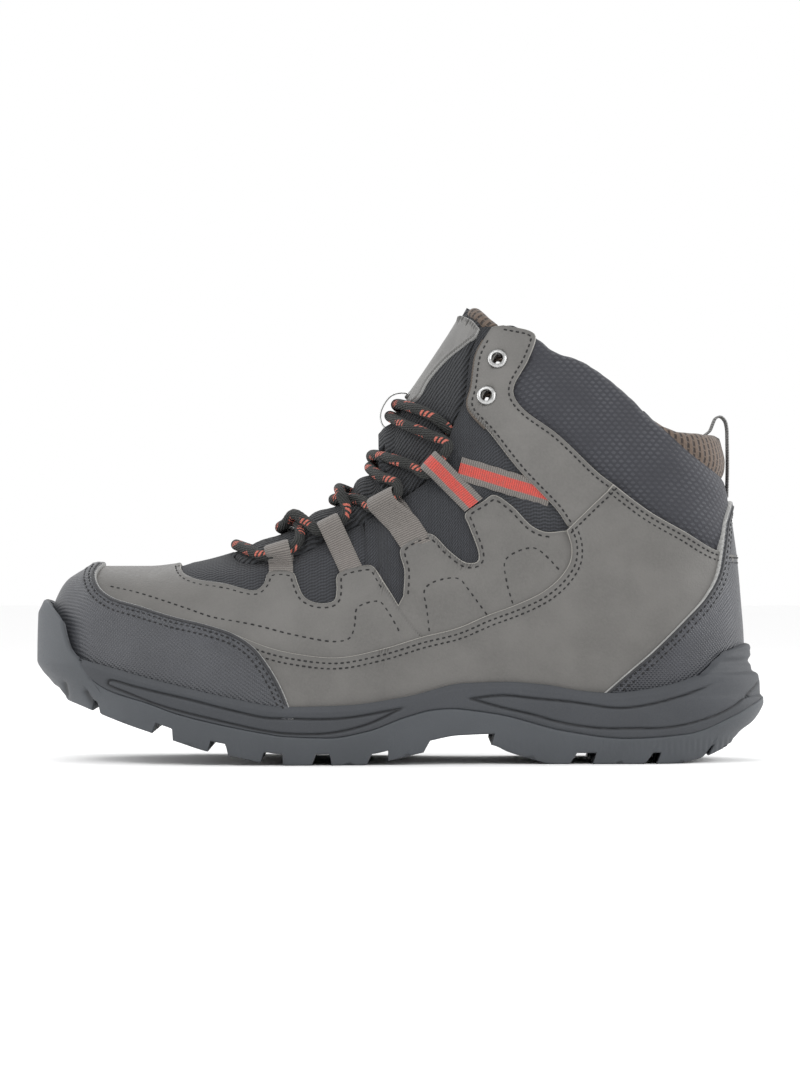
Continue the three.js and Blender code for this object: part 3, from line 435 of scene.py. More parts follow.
def panel(name, outline, low, shape, finish, step=2.0, rings=RINGS, merge=None,
          replaces=(), slot=None, body=BOOT, sharp=40, holes=()):
    """A panel whose outline is a loop of (a, q), from lift low up to shape(points, edge distance)."""
    outline = np.asarray(outline, float)
    layout = flat(outline[:, 0], outline[:, 1])
    keep = np.linalg.norm(layout - np.roll(layout, 1, axis=0), axis=1) > 0.15
    outline, layout = outline[keep], layout[keep]
    area = np.sum(layout[:, 0] * np.roll(layout[:, 1], -1) - np.roll(layout[:, 0], -1) * layout[:, 1])
    if area < 0:
        outline, layout = outline[::-1], layout[::-1]
    merged = np.zeros(len(outline), bool) if merge is None else merge(outline[:, 0], outline[:, 1])
    finished = ~(merged & np.roll(merged, -1))   # per edge, from its first point
    following = np.roll(outline, -1, axis=0)
    dense = np.vstack([outline[finished] + t * (following[finished] - outline[finished])
                       for t in (0, 0.25, 0.5, 0.75)])
    edge_points = np.vstack([base(dense[:, 0], dense[:, 1])] + [base(hole[:, 0],
                                                                     hole[:, 1]) for hole in holes])
    hole_layouts = [flat(hole[:, 0], hole[:, 1]) for hole in holes]

    points = [outline]
    tangent = (np.roll(outline, -1, axis=0) - np.roll(outline, 1, axis=0))
    along_a, along_q = slopes(outline[:, 0], outline[:, 1])
    e, f, g = (np.sum(u * v, -1) for u, v in ((along_a, along_a), (along_a, along_q), (along_q, along_q)))
    turned = np.stack([-tangent[:, 1], tangent[:, 0]], -1)
    det = np.maximum(e * g - f * f, 1e-6)
    inward = np.stack([(g * turned[:, 0] - f * turned[:, 1]) / det,
                       (e * turned[:, 1] - f * turned[:, 0]) / det], -1)
    length = np.sqrt(np.maximum(e * inward[:, 0] ** 2 + 2 * f * inward[:, 0] * inward[:, 1] + g
                                * inward[:, 1] ** 2, 1e-12))
    inward /= length[:, None]
    ring_from = ~merged
    for d in rings:
        ring = (outline + d * inward)[ring_from]
        far = nearest(base(ring[:, 0], ring[:, 1]), edge_points)
        ring = ring[far > 0.92 * d]
        for hole in hole_layouts:
            ring = ring[~inside(flat(ring[:, 0], ring[:, 1]), hole)]
        points.append(ring)
    grid = []
    low_a, high_a = outline[:, 0].min(), outline[:, 0].max()
    low_s, high_s = layout[:, 1].min(), layout[:, 1].max()
    for i, a in enumerate(np.arange(low_a + 0.3 * step, high_a, 0.87 * step)):
        row = arc_row(a)
        s = np.arange(low_s + (i % 2) * step / 2, high_s, step)
        s = s[np.abs(s) < row[-1] - 0.3]
        q = np.interp(np.abs(s), row, _gq)
        grid.append(np.stack([np.full(len(s), a), q * np.sign(s)], -1))
    grid = np.vstack(grid)
    grid = grid[inside(flat(grid[:, 0], grid[:, 1]), layout)]
    for hole in hole_layouts:
        grid = grid[~inside(flat(grid[:, 0], grid[:, 1]), hole)]
    reach = nearest(base(grid[:, 0], grid[:, 1]), base(outline[:, 0], outline[:, 1]))
    far = nearest(base(grid[:, 0], grid[:, 1]), edge_points)
    room = np.where(reach < far - 1e-6, 0.5 * step, (rings[-1] if len(rings) else 0) + 0.45 * step)
    grid = grid[np.minimum(reach, 1e9) > np.minimum(room, (rings[-1] if len(rings) else 0) + 0.45 * step)]
    points.append(grid)
    points = np.vstack(points)
    spread = flat(points[:, 0], points[:, 1])
    count = len(outline)
    loop = [(i, (i + 1) % count) for i in range(count)]
    for hole in holes:
        start = len(points)
        points = np.vstack([points, hole])
        spread = np.vstack([spread, flat(hole[:, 0], hole[:, 1])])
        loop += [(start + i, start + (i + 1) % len(hole)) for i in range(len(hole))]
    result = delaunay_2d_cdt([Vector(p) for p in spread], loop, [], 0, 1e-5, True)
    origin = np.array([o[0] if o else -1 for o in result[3]])
    known = points[np.maximum(origin, 0)]
    new = origin < 0
    if new.any():
        made = np.array([result[0][i][:] for i in np.flatnonzero(new)])
        rows = [arc_row(a) for a in made[:, 0]]
        known[new] = [(a, np.interp(abs(s), r, _gq) * np.sign(s)) for (a, s), r in zip(made, rows)]
    spread = np.array([v[:] for v in result[0]])
    faces = np.array([list(face) for face in result[2]])
    middles = spread[faces].mean(axis=1)
    kept = inside(middles, layout)
    for hole in hole_layouts:
        kept &= ~inside(middles, hole)
    faces = faces[kept].tolist()
    a, q = known[:, 0], known[:, 1]
    p = base(a, q)
    d = nearest(p, edge_points)
    n = normal(a, q)
    top = p + n * shape(a, q, p, d)[:, None]
    bottom = p + n * (low(a, q, p, d) if callable(low) else np.full(len(p), float(low)))[:, None]
    total = len(p)
    edges = {}
    for face in faces:
        for i in range(len(face)):
            key = (face[i], face[(i + 1) % len(face)])
            if (key[1], key[0]) in edges:
                del edges[(key[1], key[0])]
            else:
                edges[key] = True
    is_merged = np.zeros(total, bool) if merge is None else merge(a, q)
    walls = [[j, i, i + total, j + total] for i, j in edges if not (is_merged[i] and is_merged[j])]
    all_faces = faces + [[k + total for k in reversed(face)] for face in faces] + walls
    uv = weave_coordinates(a, q) * MM
    attributes = {"edge": np.concatenate([d, np.zeros(total)]),
                  "side": np.concatenate([np.zeros(total), np.ones(total)])}
    piece = make_object(name, np.vstack([top, bottom]), all_faces, finish, np.vstack([uv, uv]), attributes,
                        weld=merge is not None, sharp=sharp)
    return place(piece, body, replaces, slot)


def make_object(name, vertices, faces, finish, uv=None, attributes=None, weld=False, sharp=40):
    mesh = bpy.data.meshes.new(name)
    mesh.from_pydata((np.asarray(vertices) * MM).tolist(), [], faces)
    mesh.update()
    if uv is not None:
        corners = np.empty(len(mesh.loops), np.int32)
        mesh.loops.foreach_get("vertex_index", corners)
        mesh.uv_layers.new(name="weave").data.foreach_set("uv",
                                                          np.asarray(uv)[corners].ravel().astype(np.float32))
    for key, values in (attributes or {}).items():
        mesh.attributes.new(key, "FLOAT", "POINT").data.foreach_set("value", np.asarray(values, np.float32))
    if weld:
        bm = bmesh.new()
        bm.from_mesh(mesh)
        bmesh.ops.remove_doubles(bm, verts=bm.verts, dist=2e-5)
        bm.to_mesh(mesh)
        bm.free()
    mesh.shade_smooth()
    if sharp:
        mesh.set_sharp_from_angle(angle=math.radians(sharp))
    mesh.materials.append(finish)
    piece = bpy.data.objects.new(name, mesh)
    bpy.context.scene.collection.objects.link(piece)
    return piece


def place(piece, body=BOOT, replaces=(), slot=None):
    if body:
        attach(piece, body)
    if replaces:
        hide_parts(*replaces)
    return piece


EYELET_PLACES = {"upper": (40, 164), "lower": (35.5, 149)}
EYELET_HOLE = 2.5


def eyelet_holes(side, heel_wrap=False):
    """Round holes as loops of (a, q) for the two eyelets of one side."""
    loops = []
    for x, z in EYELET_PLACES.values():
        q = float(share_at(x, z, side))
        a = float(along(x))
        along_a, along_q = slopes(np.array([a]), np.array([q]))
        turn = np.linspace(0, 2 * math.pi, 20, endpoint=False)
        loop = np.stack([a + EYELET_HOLE * np.cos(turn) / np.linalg.norm(along_a),
                         q + EYELET_HOLE * np.sin(turn) / np.linalg.norm(along_q)], -1)
        if heel_wrap:
            loop = np.stack([2 * AROUND - loop[:, 0], -loop[:, 1]], -1)
        loops.append(loop)
    return loops


def soft_edge(d, radius, share=0.5):
    """0 to 1 over a rounded edge: share of the thickness at the very edge, all of it from radius inwards."""
    t = np.clip(1 - d / radius, 0, 1)
    return share + (1 - share) * np.sqrt(1 - t * t)


def mirrored(line_outer):
    """A line of (a, q) and its mirror image, as one line from the outer side to the inner."""
    return np.vstack([line_outer, (line_outer * [1, -1])[::-1]])


# ---- Materials ----------------------------------------------------------------------------------------------


class Graph:
    """Short calls for building one material's nodes."""

    def __init__(self, name, roughness=0.7, metallic=0.0, sheen=0.0):
        self.material = bpy.data.materials.new(name)
        self.material.use_nodes = True
        self.tree = self.material.node_tree
        self.shader = self.tree.nodes["Principled BSDF"]
        self.shader.inputs["Roughness"].default_value = roughness
        self.shader.inputs["Metallic"].default_value = metallic
        if sheen:
            self.shader.inputs["Sheen Weight"].default_value = sheen
        self.coordinates = self.tree.nodes.new("ShaderNodeTexCoord")
        self.place = self.coordinates.outputs["Object"]
        self.weave = None

    def put(self, socket, value):
        if hasattr(value, "is_output"):
            self.tree.links.new(value, socket)
        else:
            socket.default_value = value

    def math(self, operation, a, b=0.0, c=0.0):
        node = self.tree.nodes.new("ShaderNodeMath")
        node.operation = operation
        for socket, value in zip(node.inputs, (a, b, c)):
            self.put(socket, value)
        return node.outputs[0]

    def noise(self, scale, detail=3.0, at=None):
        node = self.tree.nodes.new("ShaderNodeTexNoise")
        self.put(node.inputs["Vector"], self.place if at is None else at)
        node.inputs["Scale"].default_value = scale
        node.inputs["Detail"].default_value = detail
        return node.outputs["Fac"]

    def cells(self, scale):
        node = self.tree.nodes.new("ShaderNodeTexVoronoi")
        self.put(node.inputs["Vector"], self.place)
        node.inputs["Scale"].default_value = scale
        return node.outputs["Distance"]

    def uv(self):
        if self.weave is None:
            node = self.tree.nodes.new("ShaderNodeUVMap")
            node.uv_map = "weave"
            split = self.tree.nodes.new("ShaderNodeSeparateXYZ")
            self.put(split.inputs[0], node.outputs[0])
            self.weave = split.outputs[0], split.outputs[1]
        return self.weave

    def attribute(self, name):
        node = self.tree.nodes.new("ShaderNodeAttribute")
        node.attribute_name = name
        return node.outputs["Fac"]

    def ramp(self, value, low, high, at_low=0.0, at_high=1.0):
        node = self.tree.nodes.new("ShaderNodeMapRange")
        node.interpolation_type = "SMOOTHSTEP"
        for socket, number in zip(node.inputs, (value, low, high, at_low, at_high)):
            self.put(socket, number)
        return node.outputs[0]

    def mix(self, share, a, b):
        node = self.tree.nodes.new("ShaderNodeMix")
        node.data_type = "RGBA"
        self.put(node.inputs[0], share)
        self.put(node.inputs[6], (*a, 1) if isinstance(a, tuple) else a)
        self.put(node.inputs[7], (*b, 1) if isinstance(b, tuple) else b)
        return node.outputs[2]

    def colour(self, value):
        self.put(self.shader.inputs["Base Color"], value)

    def rough(self, value):
        self.put(self.shader.inputs["Roughness"], value)

    def bump(self, height, depth, strength=1.0):
        """depth is the height's full travel in metres."""
        node = self.tree.nodes.new("ShaderNodeBump")
        node.inputs["Strength"].default_value = strength
        node.inputs["Distance"].default_value = depth
        self.put(node.inputs["Height"], height)
        self.put(self.shader.inputs["Normal"], node.outputs[0])

    def wave(self, value, pitch, shift=0.0):
        """0 to 1 and back over each pitch of value."""
        angle = self.math("MULTIPLY_ADD", value, 2 * math.pi / pitch, shift)
        return self.math("MULTIPLY_ADD", self.math("SINE", angle), 0.5, 0.5)


ALBEDO = 0.66   # how dark a surface is against the level that it shows under this light


def rgb(*levels):
    """A colour from its 0 to 255 display levels."""
    return tuple(ALBEDO * ((v / 255 / 12.92) if v <= 10.3 else ((v / 255
                                                                 + 0.055) / 1.055) ** 2.4) for v in levels)


def leather(name, levels, edge_levels, grain=900.0, depth=0.00009, roughness=0.55, edge_width=0.28,
            emboss=False):
    g = Graph(name, roughness)
    main = rgb(*levels)
    dark = tuple(v * 0.82 for v in main)
    cloudy = g.noise(55.0, 5.0)
    fine = g.noise(grain, 6.0)
    pores = g.cells(grain * 1.3)
    surface = g.mix(g.ramp(cloudy, 0.35, 0.68), dark, main)
    surface = g.mix(g.ramp(fine, 0.3, 0.75, 0.0, 0.35), surface, tuple(v * 1.2 for v in main))
    # Painted shade: the leather darkens over the last 2.6 mm towards the panel's edge, just inside its light cut
    # edge.
    painted_edge_shade = g.ramp(g.attribute("edge"), 0.5, 2.6, 0.30, 0.0)
    surface = g.mix(painted_edge_shade, surface, tuple(v * 0.55 for v in main))
    cut = g.ramp(g.attribute("edge"), edge_width * 0.6, edge_width, 1.0, 0.0)
    surface = g.mix(cut, surface, rgb(*edge_levels))
    g.colour(surface)
    g.rough(g.ramp(fine, 0.2, 0.8, roughness - 0.08, roughness + 0.1))
    if emboss:
        u, v = g.uv()
        weft = g.wave(g.math("ADD", u, v), 0.0016)
        warp = g.wave(g.math("SUBTRACT", u, v), 0.0016)
        g.bump(g.math("MULTIPLY_ADD", fine, 0.15, g.math("MULTIPLY", weft, warp)), 0.00028)
    else:
        g.bump(g.math("ADD", g.math("MULTIPLY", pores, 0.7), fine), depth)
    return g.material


def wavy_knit(name, levels, across=0.0052, down=0.0023):
    """Tongue fabric: long raised waves in brick order, with dark slits between them."""
    g = Graph(name, 0.9, sheen=0.03)
    u, v = g.uv()
    sway = g.math("MULTIPLY", g.math("SINE", g.math("MULTIPLY", u, 2 * math.pi / 0.0075)), 0.0004)
    row = g.math("DIVIDE", g.math("ADD", v, sway), down)
    shift = g.math("MULTIPLY", g.math("FLOOR", row), 0.5)
    column = g.math("FRACT", g.math("ADD", g.math("DIVIDE", u, across), shift))
    su = g.math("ABSOLUTE", g.math("SUBTRACT", column, 0.5))
    sv = g.math("ABSOLUTE", g.math("SUBTRACT", g.math("FRACT", row), 0.5))
    slit = g.math("MULTIPLY", g.ramp(sv, 0.30, 0.44), g.ramp(su, 0.30, 0.44, 1.0, 0.0))
    body_of_rib = g.ramp(sv, 0.0, 0.5, 1.0, 0.0)
    fuzz = g.noise(1400.0, 4.0)
    main = rgb(*levels)
    # Painted highlight on the middle of each raised wave and painted shade towards its sides, in step with the
    # bump.
    tint = g.mix(body_of_rib, tuple(c * 0.6 for c in main), tuple(c * 1.25 for c in main))
    tint = g.mix(slit, tint, tuple(c * 0.16 for c in main))
    tint = g.mix(g.ramp(fuzz, 0.35, 0.7, 0.0, 0.35), tint, tuple(c * 0.6 for c in main))
    # Painted shade along the tongue's edges, where it runs under the upper.
    tint = g.mix(g.ramp(g.attribute("edge"), 0.0, 3.0, 0.5, 0.0), tint, tuple(c * 0.4 for c in main))
    g.colour(tint)
    g.bump(g.math("MULTIPLY_ADD", slit, -0.8, g.math("MULTIPLY_ADD", fuzz, 0.15, body_of_rib)), 0.0006)
    return g.material


def ribbed_mesh(name, levels, pitch=0.00145):
    """Window fabric: wavy ribs across, with small knots."""
    g = Graph(name, 0.9, sheen=0.05)
    u, v = g.uv()
    bend = g.math("MULTIPLY", g.math("SINE", g.math("MULTIPLY", u, 2 * math.pi / 0.0042)), 0.00022)
    rib = g.wave(g.math("ADD", v, bend), pitch)
    knot = g.wave(u, 0.0012)
    main = rgb(*levels)
    woven = g.math("MULTIPLY_ADD", knot, 0.3, g.math("MULTIPLY", rib, 0.7))
    # Painted highlight on the raised ribs and knots, painted shade between them.
    tint = g.mix(g.ramp(woven, 0.1, 0.9), tuple(c * 0.45 for c in main), tuple(c * 1.25 for c in main))
    tint = g.mix(g.ramp(g.noise(220.0), 0.35, 0.7, 0.0, 0.3), tint, tuple(c * 0.6 for c in main))
    # Painted shade along the panel's edges, where the fabric runs under its neighbours.
    tint = g.mix(g.ramp(g.attribute("edge"), 0.0, 3.0, 0.5, 0.0), tint, tuple(c * 0.4 for c in main))
    g.colour(tint)
    g.bump(woven, 0.00035)
    return g.material


def dashed_knit(name, levels, light, across=0.0038, down=0.0019):
    """Collar fabric: lens-shaped dashes in brick order on a dark ground."""
    g = Graph(name, 0.88, sheen=0.08)
    u, v = g.uv()
    row = g.math("DIVIDE", v, down)
    shift = g.math("MULTIPLY", g.math("FLOOR", row), 0.5)
    su = g.math("ABSOLUTE", g.math("SUBTRACT", g.math("FRACT",
                                                      g.math("ADD", g.math("DIVIDE", u, across), shift)),
                                                      0.5))
    sv = g.math("ABSOLUTE", g.math("SUBTRACT", g.math("FRACT", row), 0.5))
    lens = g.math("ADD", g.math("MULTIPLY", g.math("MULTIPLY", su, su), 4.6), g.math("MULTIPLY", sv, 1.5))
    dash = g.ramp(lens, 0.28, 0.75, 1.0, 0.0)
    fuzz = g.noise(1500.0, 4.0)
    worn = g.ramp(g.noise(70.0, 2.0), 0.3, 0.75, 0.25, 1.0)
    tint = g.mix(g.math("MULTIPLY", dash, worn), tuple(c * 0.8 for c in rgb(*levels)), rgb(*light))
    tint = g.mix(g.ramp(fuzz, 0.35, 0.7, 0.0, 0.45), tint, tuple(c * 0.8 for c in rgb(*levels)))
    g.colour(tint)
    g.bump(g.math("MULTIPLY_ADD", fuzz, 0.4, dash), 0.00025)
    return g.material


def slit_knit(name, levels, dark, across=0.00285, down=0.0026):
    """Cuff fabric: upright columns with rows of dark slits."""
    g = Graph(name, 0.9, sheen=0.12)
    u, v = g.uv()
    column = g.math("DIVIDE", u, across)
    lift = g.math("MULTIPLY", g.math("FLOOR", column), 0.5)
    su = g.math("ABSOLUTE", g.math("SUBTRACT", g.math("FRACT", column), 0.5))
    sv = g.math("ABSOLUTE", g.math("SUBTRACT", g.math("FRACT",
                                                      g.math("ADD", g.math("DIVIDE", v, down), lift)), 0.5))
    slit = g.ramp(g.math("MAXIMUM", g.math("MULTIPLY", su, 2.6), g.math("MULTIPLY", sv, 1.25)), 0.35, 0.62,
                  1.0, 0.0)
    fuzz = g.noise(1300.0, 4.0)
    tint = g.mix(slit, rgb(*levels), rgb(*dark))
    tint = g.mix(g.ramp(fuzz, 0.35, 0.7, 0.0, 0.4), tint, tuple(c * 0.6 for c in rgb(*levels)))
    g.colour(tint)
    g.bump(g.math("SUBTRACT", g.math("MULTIPLY", fuzz, 0.3), slit), 0.0005)
    return g.material


def grosgrain(name, levels, pitch=0.0009, stripe=None):
    """Webbing with fine ribs across it. u runs along the webbing and v across, 0 in the middle."""
    g = Graph(name, 0.85, sheen=0.2)
    u, v = g.uv()
    rib = g.wave(u, pitch)
    main = rgb(*levels)
    # Painted highlight on the raised ribs and painted shade between them, also on the stripe.
    tint = g.mix(rib, tuple(c * 0.55 for c in main), tuple(c * 1.12 for c in main))
    if stripe:
        from_middle = g.math("ABSOLUTE", v)
        orange = g.mix(rib, tuple(c * 0.6 for c in rgb(*stripe)), rgb(*stripe))
        tint = g.mix(g.ramp(from_middle, 0.0019, 0.0025, 1.0, 0.0), tint, orange)
    tint = g.mix(g.ramp(g.noise(900.0), 0.4, 0.75, 0.0, 0.3), tint, tuple(c * 0.6 for c in main))
    g.colour(tint)
    g.bump(g.math("MULTIPLY_ADD", g.wave(v, 0.0008), 0.3, rib), 0.0002)
    return g.material


def lace_finish(name):
    """Braid with ribs along it and groups of three slanted flecks. u runs along, v is the turn from 0 to 1."""
    g = Graph(name, 0.85, sheen=0.03)
    u, v = g.uv()
    cords = g.wave(g.math("MULTIPLY_ADD", u, 25.0, v), 1 / 13)
    picks = g.wave(g.math("MULTIPLY_ADD", v, 0.006, u), 0.0011)
    # Painted highlight on the raised cords and painted shade between them.
    ground = g.mix(cords, rgb(14, 15, 14), rgb(58, 60, 58))
    along = g.math("FRACT", g.math("DIVIDE", u, 0.0115))
    turned = g.math("FRACT", g.math("MULTIPLY_ADD", v, 2.0, g.math("DIVIDE", u, 0.023)))
    here = g.math("MULTIPLY", g.ramp(along, 0.0, 0.04, 0.0, 1.0), g.ramp(along, 0.50, 0.54, 1.0, 0.0))
    band = g.ramp(g.math("ABSOLUTE", g.math("SUBTRACT", turned, 0.5)), 0.16, 0.24, 1.0, 0.0)
    bars = g.ramp(g.wave(g.math("MULTIPLY_ADD", v, 0.004, u), 0.002), 0.35, 0.6)
    fleck = g.math("MULTIPLY", g.math("MULTIPLY", here, band), bars)
    g.colour(g.mix(fleck, ground, rgb(226, 122, 104)))
    g.bump(g.math("MULTIPLY_ADD", picks, 0.5, cords), 0.0004)
    return g.material


def rubber(name, levels, roughness=0.55):
    g = Graph(name, roughness)
    main = rgb(*levels)
    tint = g.mix(g.ramp(g.noise(38.0, 4.0), 0.35, 0.7), tuple(c * 0.88 for c in main), main)
    # Painted shade: the rubber darkens in its grooves.
    tint = g.mix(g.ramp(g.attribute("groove"), 0.15, 1.0, 0.0, 0.8), tint, tuple(c * 0.18 for c in main))
    fine = g.noise(1800.0, 4.0)
    tint = g.mix(g.ramp(fine, 0.4, 0.8, 0.0, 0.25), tint, tuple(c * 1.25 for c in main))
    g.colour(tint)
    g.rough(g.ramp(fine, 0.3, 0.8, roughness - 0.06, roughness + 0.12))
    g.bump(fine, 0.00006)
    return g.material


def thread(name, levels):
    g = Graph(name, 0.7)
    main = rgb(*levels)
    twist = g.noise(2500.0, 2.0)
    g.colour(g.mix(g.ramp(twist, 0.3, 0.7), tuple(c * 0.6 for c in main), main))
    g.bump(twist, 0.0001)
    return g.material


def board(name, levels, scale=400.0, roughness=0.85):
    g = Graph(name, roughness)
    main = rgb(*levels)
    fibre = g.noise(scale, 5.0)
    g.colour(g.mix(g.ramp(fibre, 0.3, 0.7), tuple(c * 0.75 for c in main), main))
    g.bump(fibre, 0.0001)
    return g.material


def metal_finish(name):
    g = Graph(name, 0.28, metallic=1.0)
    brushed = g.noise(1200.0, 3.0)
    g.colour(g.mix(g.ramp(brushed, 0.3, 0.7), (0.36, 0.36, 0.355), (0.52, 0.52, 0.515)))
    g.rough(g.ramp(brushed, 0.2, 0.8, 0.2, 0.38))
    return g.material


LEATHER = leather("synthetic_leather", (112, 110, 107), (176, 173, 167), edge_width=0.4)
EYESTAY_LEATHER = leather("eyestay_leather", (117, 115, 112), (166, 163, 157), edge_width=0.32)
GUARD = leather("guard_leather", (74, 76, 81), (172, 172, 170), grain=1100.0, roughness=0.42,
                edge_width=0.5, emboss=True)
HEEL_GUARD = leather("heel_cover_leather", (66, 68, 74), (184, 184, 182), grain=1100.0, roughness=0.42,
                     edge_width=0.6, emboss=True)
PATCH = leather("patch_leather", (128, 127, 125), (170, 170, 168), grain=1300.0, depth=0.00005)
MESH = ribbed_mesh("window_mesh", (60, 62, 67))
TONGUE_MESH = wavy_knit("tongue_mesh", (58, 60, 64))
COLLAR = dashed_knit("collar_knit", (64, 65, 72), (84, 86, 92), across=0.0034, down=0.0017)
CUFF = slit_knit("cuff_knit", (114, 98, 86), (46, 38, 34))
LINING = ribbed_mesh("lining_knit", (125, 107, 92), pitch=0.0018)
WEBBING = grosgrain("loop_webbing", (138, 132, 127))
STRIPED = grosgrain("striped_webbing", (138, 132, 127), stripe=(235, 90, 78))
PULL = grosgrain("pull_webbing", (140, 139, 137), pitch=0.0011)
LACE = lace_finish("lace_braid")
OUTSOLE = rubber("outsole_rubber", (80, 84, 89), 0.6)
MIDSOLE = rubber("midsole_foam", (66, 69, 74), 0.66)
THREAD = thread("dark_thread", (24, 24, 26))
PIPING = board("piping_cord", (52, 53, 56), 900.0, 0.6)
BINDING = board("binding_tape", (104, 95, 87), 1300.0, 0.95)
METAL = metal_finish("eyelet_metal")
BOARD = board("insole_board", (184, 168, 136))
STIFFENER = board("stiffener_board", (222, 219, 210), 700.0, 0.6)
KEEPER = board("keeper_band", (250, 252, 250), 1500.0, 0.3)
AGLET = board("aglet_plastic", (52, 53, 54), 900.0, 0.3)

# ---- Laces: the laced stretch and its two ends ----------------------------------------------------------------

LACE_RADIUS = 2.25
LOOPS = [
    ((-53, 81), (-43, 84.2), ((-43, 77.8), (-53, 77.8))),
    ((-31, 91), (-22, 95.6), ((-15.8, 80.8), (-24, 77.6))),
    ((-8, 102.3), (0.6, 107.8), ((9.3, 93.3), (1.2, 89.6))),
    ((12.2, 116.4), (19, 123.4), ((33.4, 107.4), (26.6, 102.2)))]
LOOP_LIFT = 4.7
LOW, HIGH = 3, 8
BAR = [(-60, OUTER, 83.5, 3.4), (-66.5, 0, 0, LOW), (-60, INNER, 83.5, 3.4)]
FROM_OUTER = [
    [(-39.8, OUTER, 88.5, 3.4), (-40.3, OUTER, 94.3, LOW), (-42.6, 0, 0, LOW), (-38, INNER, 93.5, LOW)],
    [(-20.4, INNER, 99, 4), (-22.5, INNER, 103.5, LOW), (-25.5, 0, 0, LOW), (-20.5, OUTER, 105.8, LOW),
     (-13.5, OUTER, 104.6, 3.4)],
    [(0.6, OUTER, 112, 4), (-5, OUTER, 115.5, LOW), (-9.8, 0, 0, LOW), (-3.5, INNER, 119, LOW),
     (6, INNER, 117.3, 3.4)],
    [(21.5, INNER, 128, 4.6), (14, INNER, 134, 6.4), (7.5, INNER, 139.6, HIGH), (1.3, 0, 0, LOW),
     (7, OUTER, 143.4, LOW), (13, OUTER, 141, 2.8)]]
FROM_INNER = [
    [(-41.4, INNER, 88.5, 3.6), (-44.5, INNER, 91.5, LOW), (-48, 0, 0, LOW), (-45, OUTER, 93.6, 4.4),
     (-40.2, OUTER, 94.4, HIGH), (-35.3, OUTER, 93, 6)],
    [(-19.3, OUTER, 99.5, 5), (-19.8, OUTER, 104.5, HIGH), (-21, 0, 0, 4.4), (-14.5, INNER, 106, LOW)],
    [(0.6, INNER, 112, 5.6), (-3.9, INNER, 118.5, HIGH), (-7.6, 0, 0, 4), (-1, OUTER, 122.4, LOW),
     (6.5, OUTER, 119.6, 3.4)],
    [(21.5, OUTER, 128, 4.6), (12, OUTER, 132.8, 4), (4, OUTER, 136.5, LOW), (-1.5, 0, 0, LOW),
     (5, INNER, 139, LOW), (12.5, INNER, 139.6, 2.8)]]
ENTRY = [(17.8, 137.8, 1.2), (21, 134, -3.6)]
HANGING = [(24.5, 128, -8.4), (27, 114, -8.8), (25, 97, -8.8), (19, 80, -9), (12, 63, -9.2), (4, 47, -11)]
LYING = [(-5, 26, 34.5), (-16, 25, 29.4), (-34, 24, 28.3), (-54, 22, 28.7), (-72, 20, 30.6)]


def lace_place(x, side, z, lift):
    q = 0.0 if side == 0 else share_at(x, z, side)
    return above_x(x, q, lift)


def above_x(x, q, lift):
    """The point over the surface at station x, as the CAD has it."""
    d, e = 0.05, 0.002
    along_x = upper_point(x + d, q) - upper_point(x - d, q)
    around = upper_point(x, min(q + e, 1.0)) - upper_point(x, max(q - e, -1.0))
    n = np.cross(along_x, around)
    n /= np.linalg.norm(n)
    return upper_point(x, q) + lift * n


def loop_ends(k, side):
    return [lace_place(x, side, z, LOOP_LIFT) for x, z in LOOPS[k][:2]]


def half_lace(strands, start):
    points = []
    for k, strand in enumerate(strands):
        points += loop_ends(k, start if k % 2 == 0 else -start) + [lace_place(*p) for p in strand]
    return points


def entry_points(side):
    return [lace_place(x, side, z, lift) for x, z, lift in ENTRY]


def tail_points(side):
    points = [entry_points(side)[1]]
    points += [lace_place(x, side, z, lift) for x, z, lift in HANGING]
    return points + [np.array((x, side * y, z), float) for x, y, z in LYING]


def quads(rows, columns, closed=False, closed_rows=False):
    """The faces between neighbouring points of a grid, which may close on itself either way."""
    return [[i * columns + j, i * columns + (j + 1) % columns,
             (i + 1) % rows * columns + (j + 1) % columns, (i + 1) % rows * columns + j]
            for i in range(rows if closed_rows else rows - 1) for j in range(columns if closed else columns - 1)]


def frames(path):
    """Unit tangents and two carried-along normals for a path of points."""
    t = np.gradient(path, axis=0)
    t /= np.linalg.norm(t, axis=1, keepdims=True)
    side = np.cross(t[0], (0, 0, 1))
    if np.linalg.norm(side) < 0.1:
        side = np.cross(t[0], (0, 1, 0))
    u = [side / np.linalg.norm(side)]
    for k in range(1, len(path)):
        v = u[-1] - t[k] * np.dot(u[-1], t[k])
        u.append(v / np.linalg.norm(v))
    u = np.array(u)
    return t, u, np.cross(t, u)


def tube(path, radius, around=20):
    """Vertices, faces and weave coordinates of a closed tube; radius may be one number or one for each point."""
    t, u, v = frames(path)
    r = np.broadcast_to(np.asarray(radius, float), (len(path),))
    angle = np.linspace(0, 2 * math.pi, around + 1)
    ring = np.cos(angle)[None, :, None] * u[:, None] + np.sin(angle)[None, :, None] * v[:, None]
    points = path[:, None] + ring * r[:, None, None]
    length = distance_along(path)
    uv = np.stack(np.broadcast_arrays((length * MM)[:, None], np.linspace(0, 1, around + 1)[None, :]), -1)
    n, m = len(path), around + 1
    faces = quads(n, m) + [list(reversed(range(around))), [(n - 1) * m + j for j in range(around)]]
    return points.reshape(-1, 3), faces, uv.reshape(-1, 2)


def braided(path):
    """A lace's radius along it: small swellings of the braid."""
    length = distance_along(path)
    return LACE_RADIUS - 0.08 + 0.06 * np.sin(length * 2 * math.pi / 2.2)


lace_path = evenly(catmull_rom(
    entry_points(OUTER)[::-1] + half_lace(FROM_OUTER, OUTER)[::-1] + [lace_place(*p) for p in BAR]
    + half_lace(FROM_INNER, INNER) + entry_points(INNER)), 0.55)
vertices, faces, uv = tube(lace_path, braided(lace_path))
place(make_object("lace_braid", vertices, faces, LACE, uv, weld=True, sharp=50), BOOT, ["lace"], "lace")

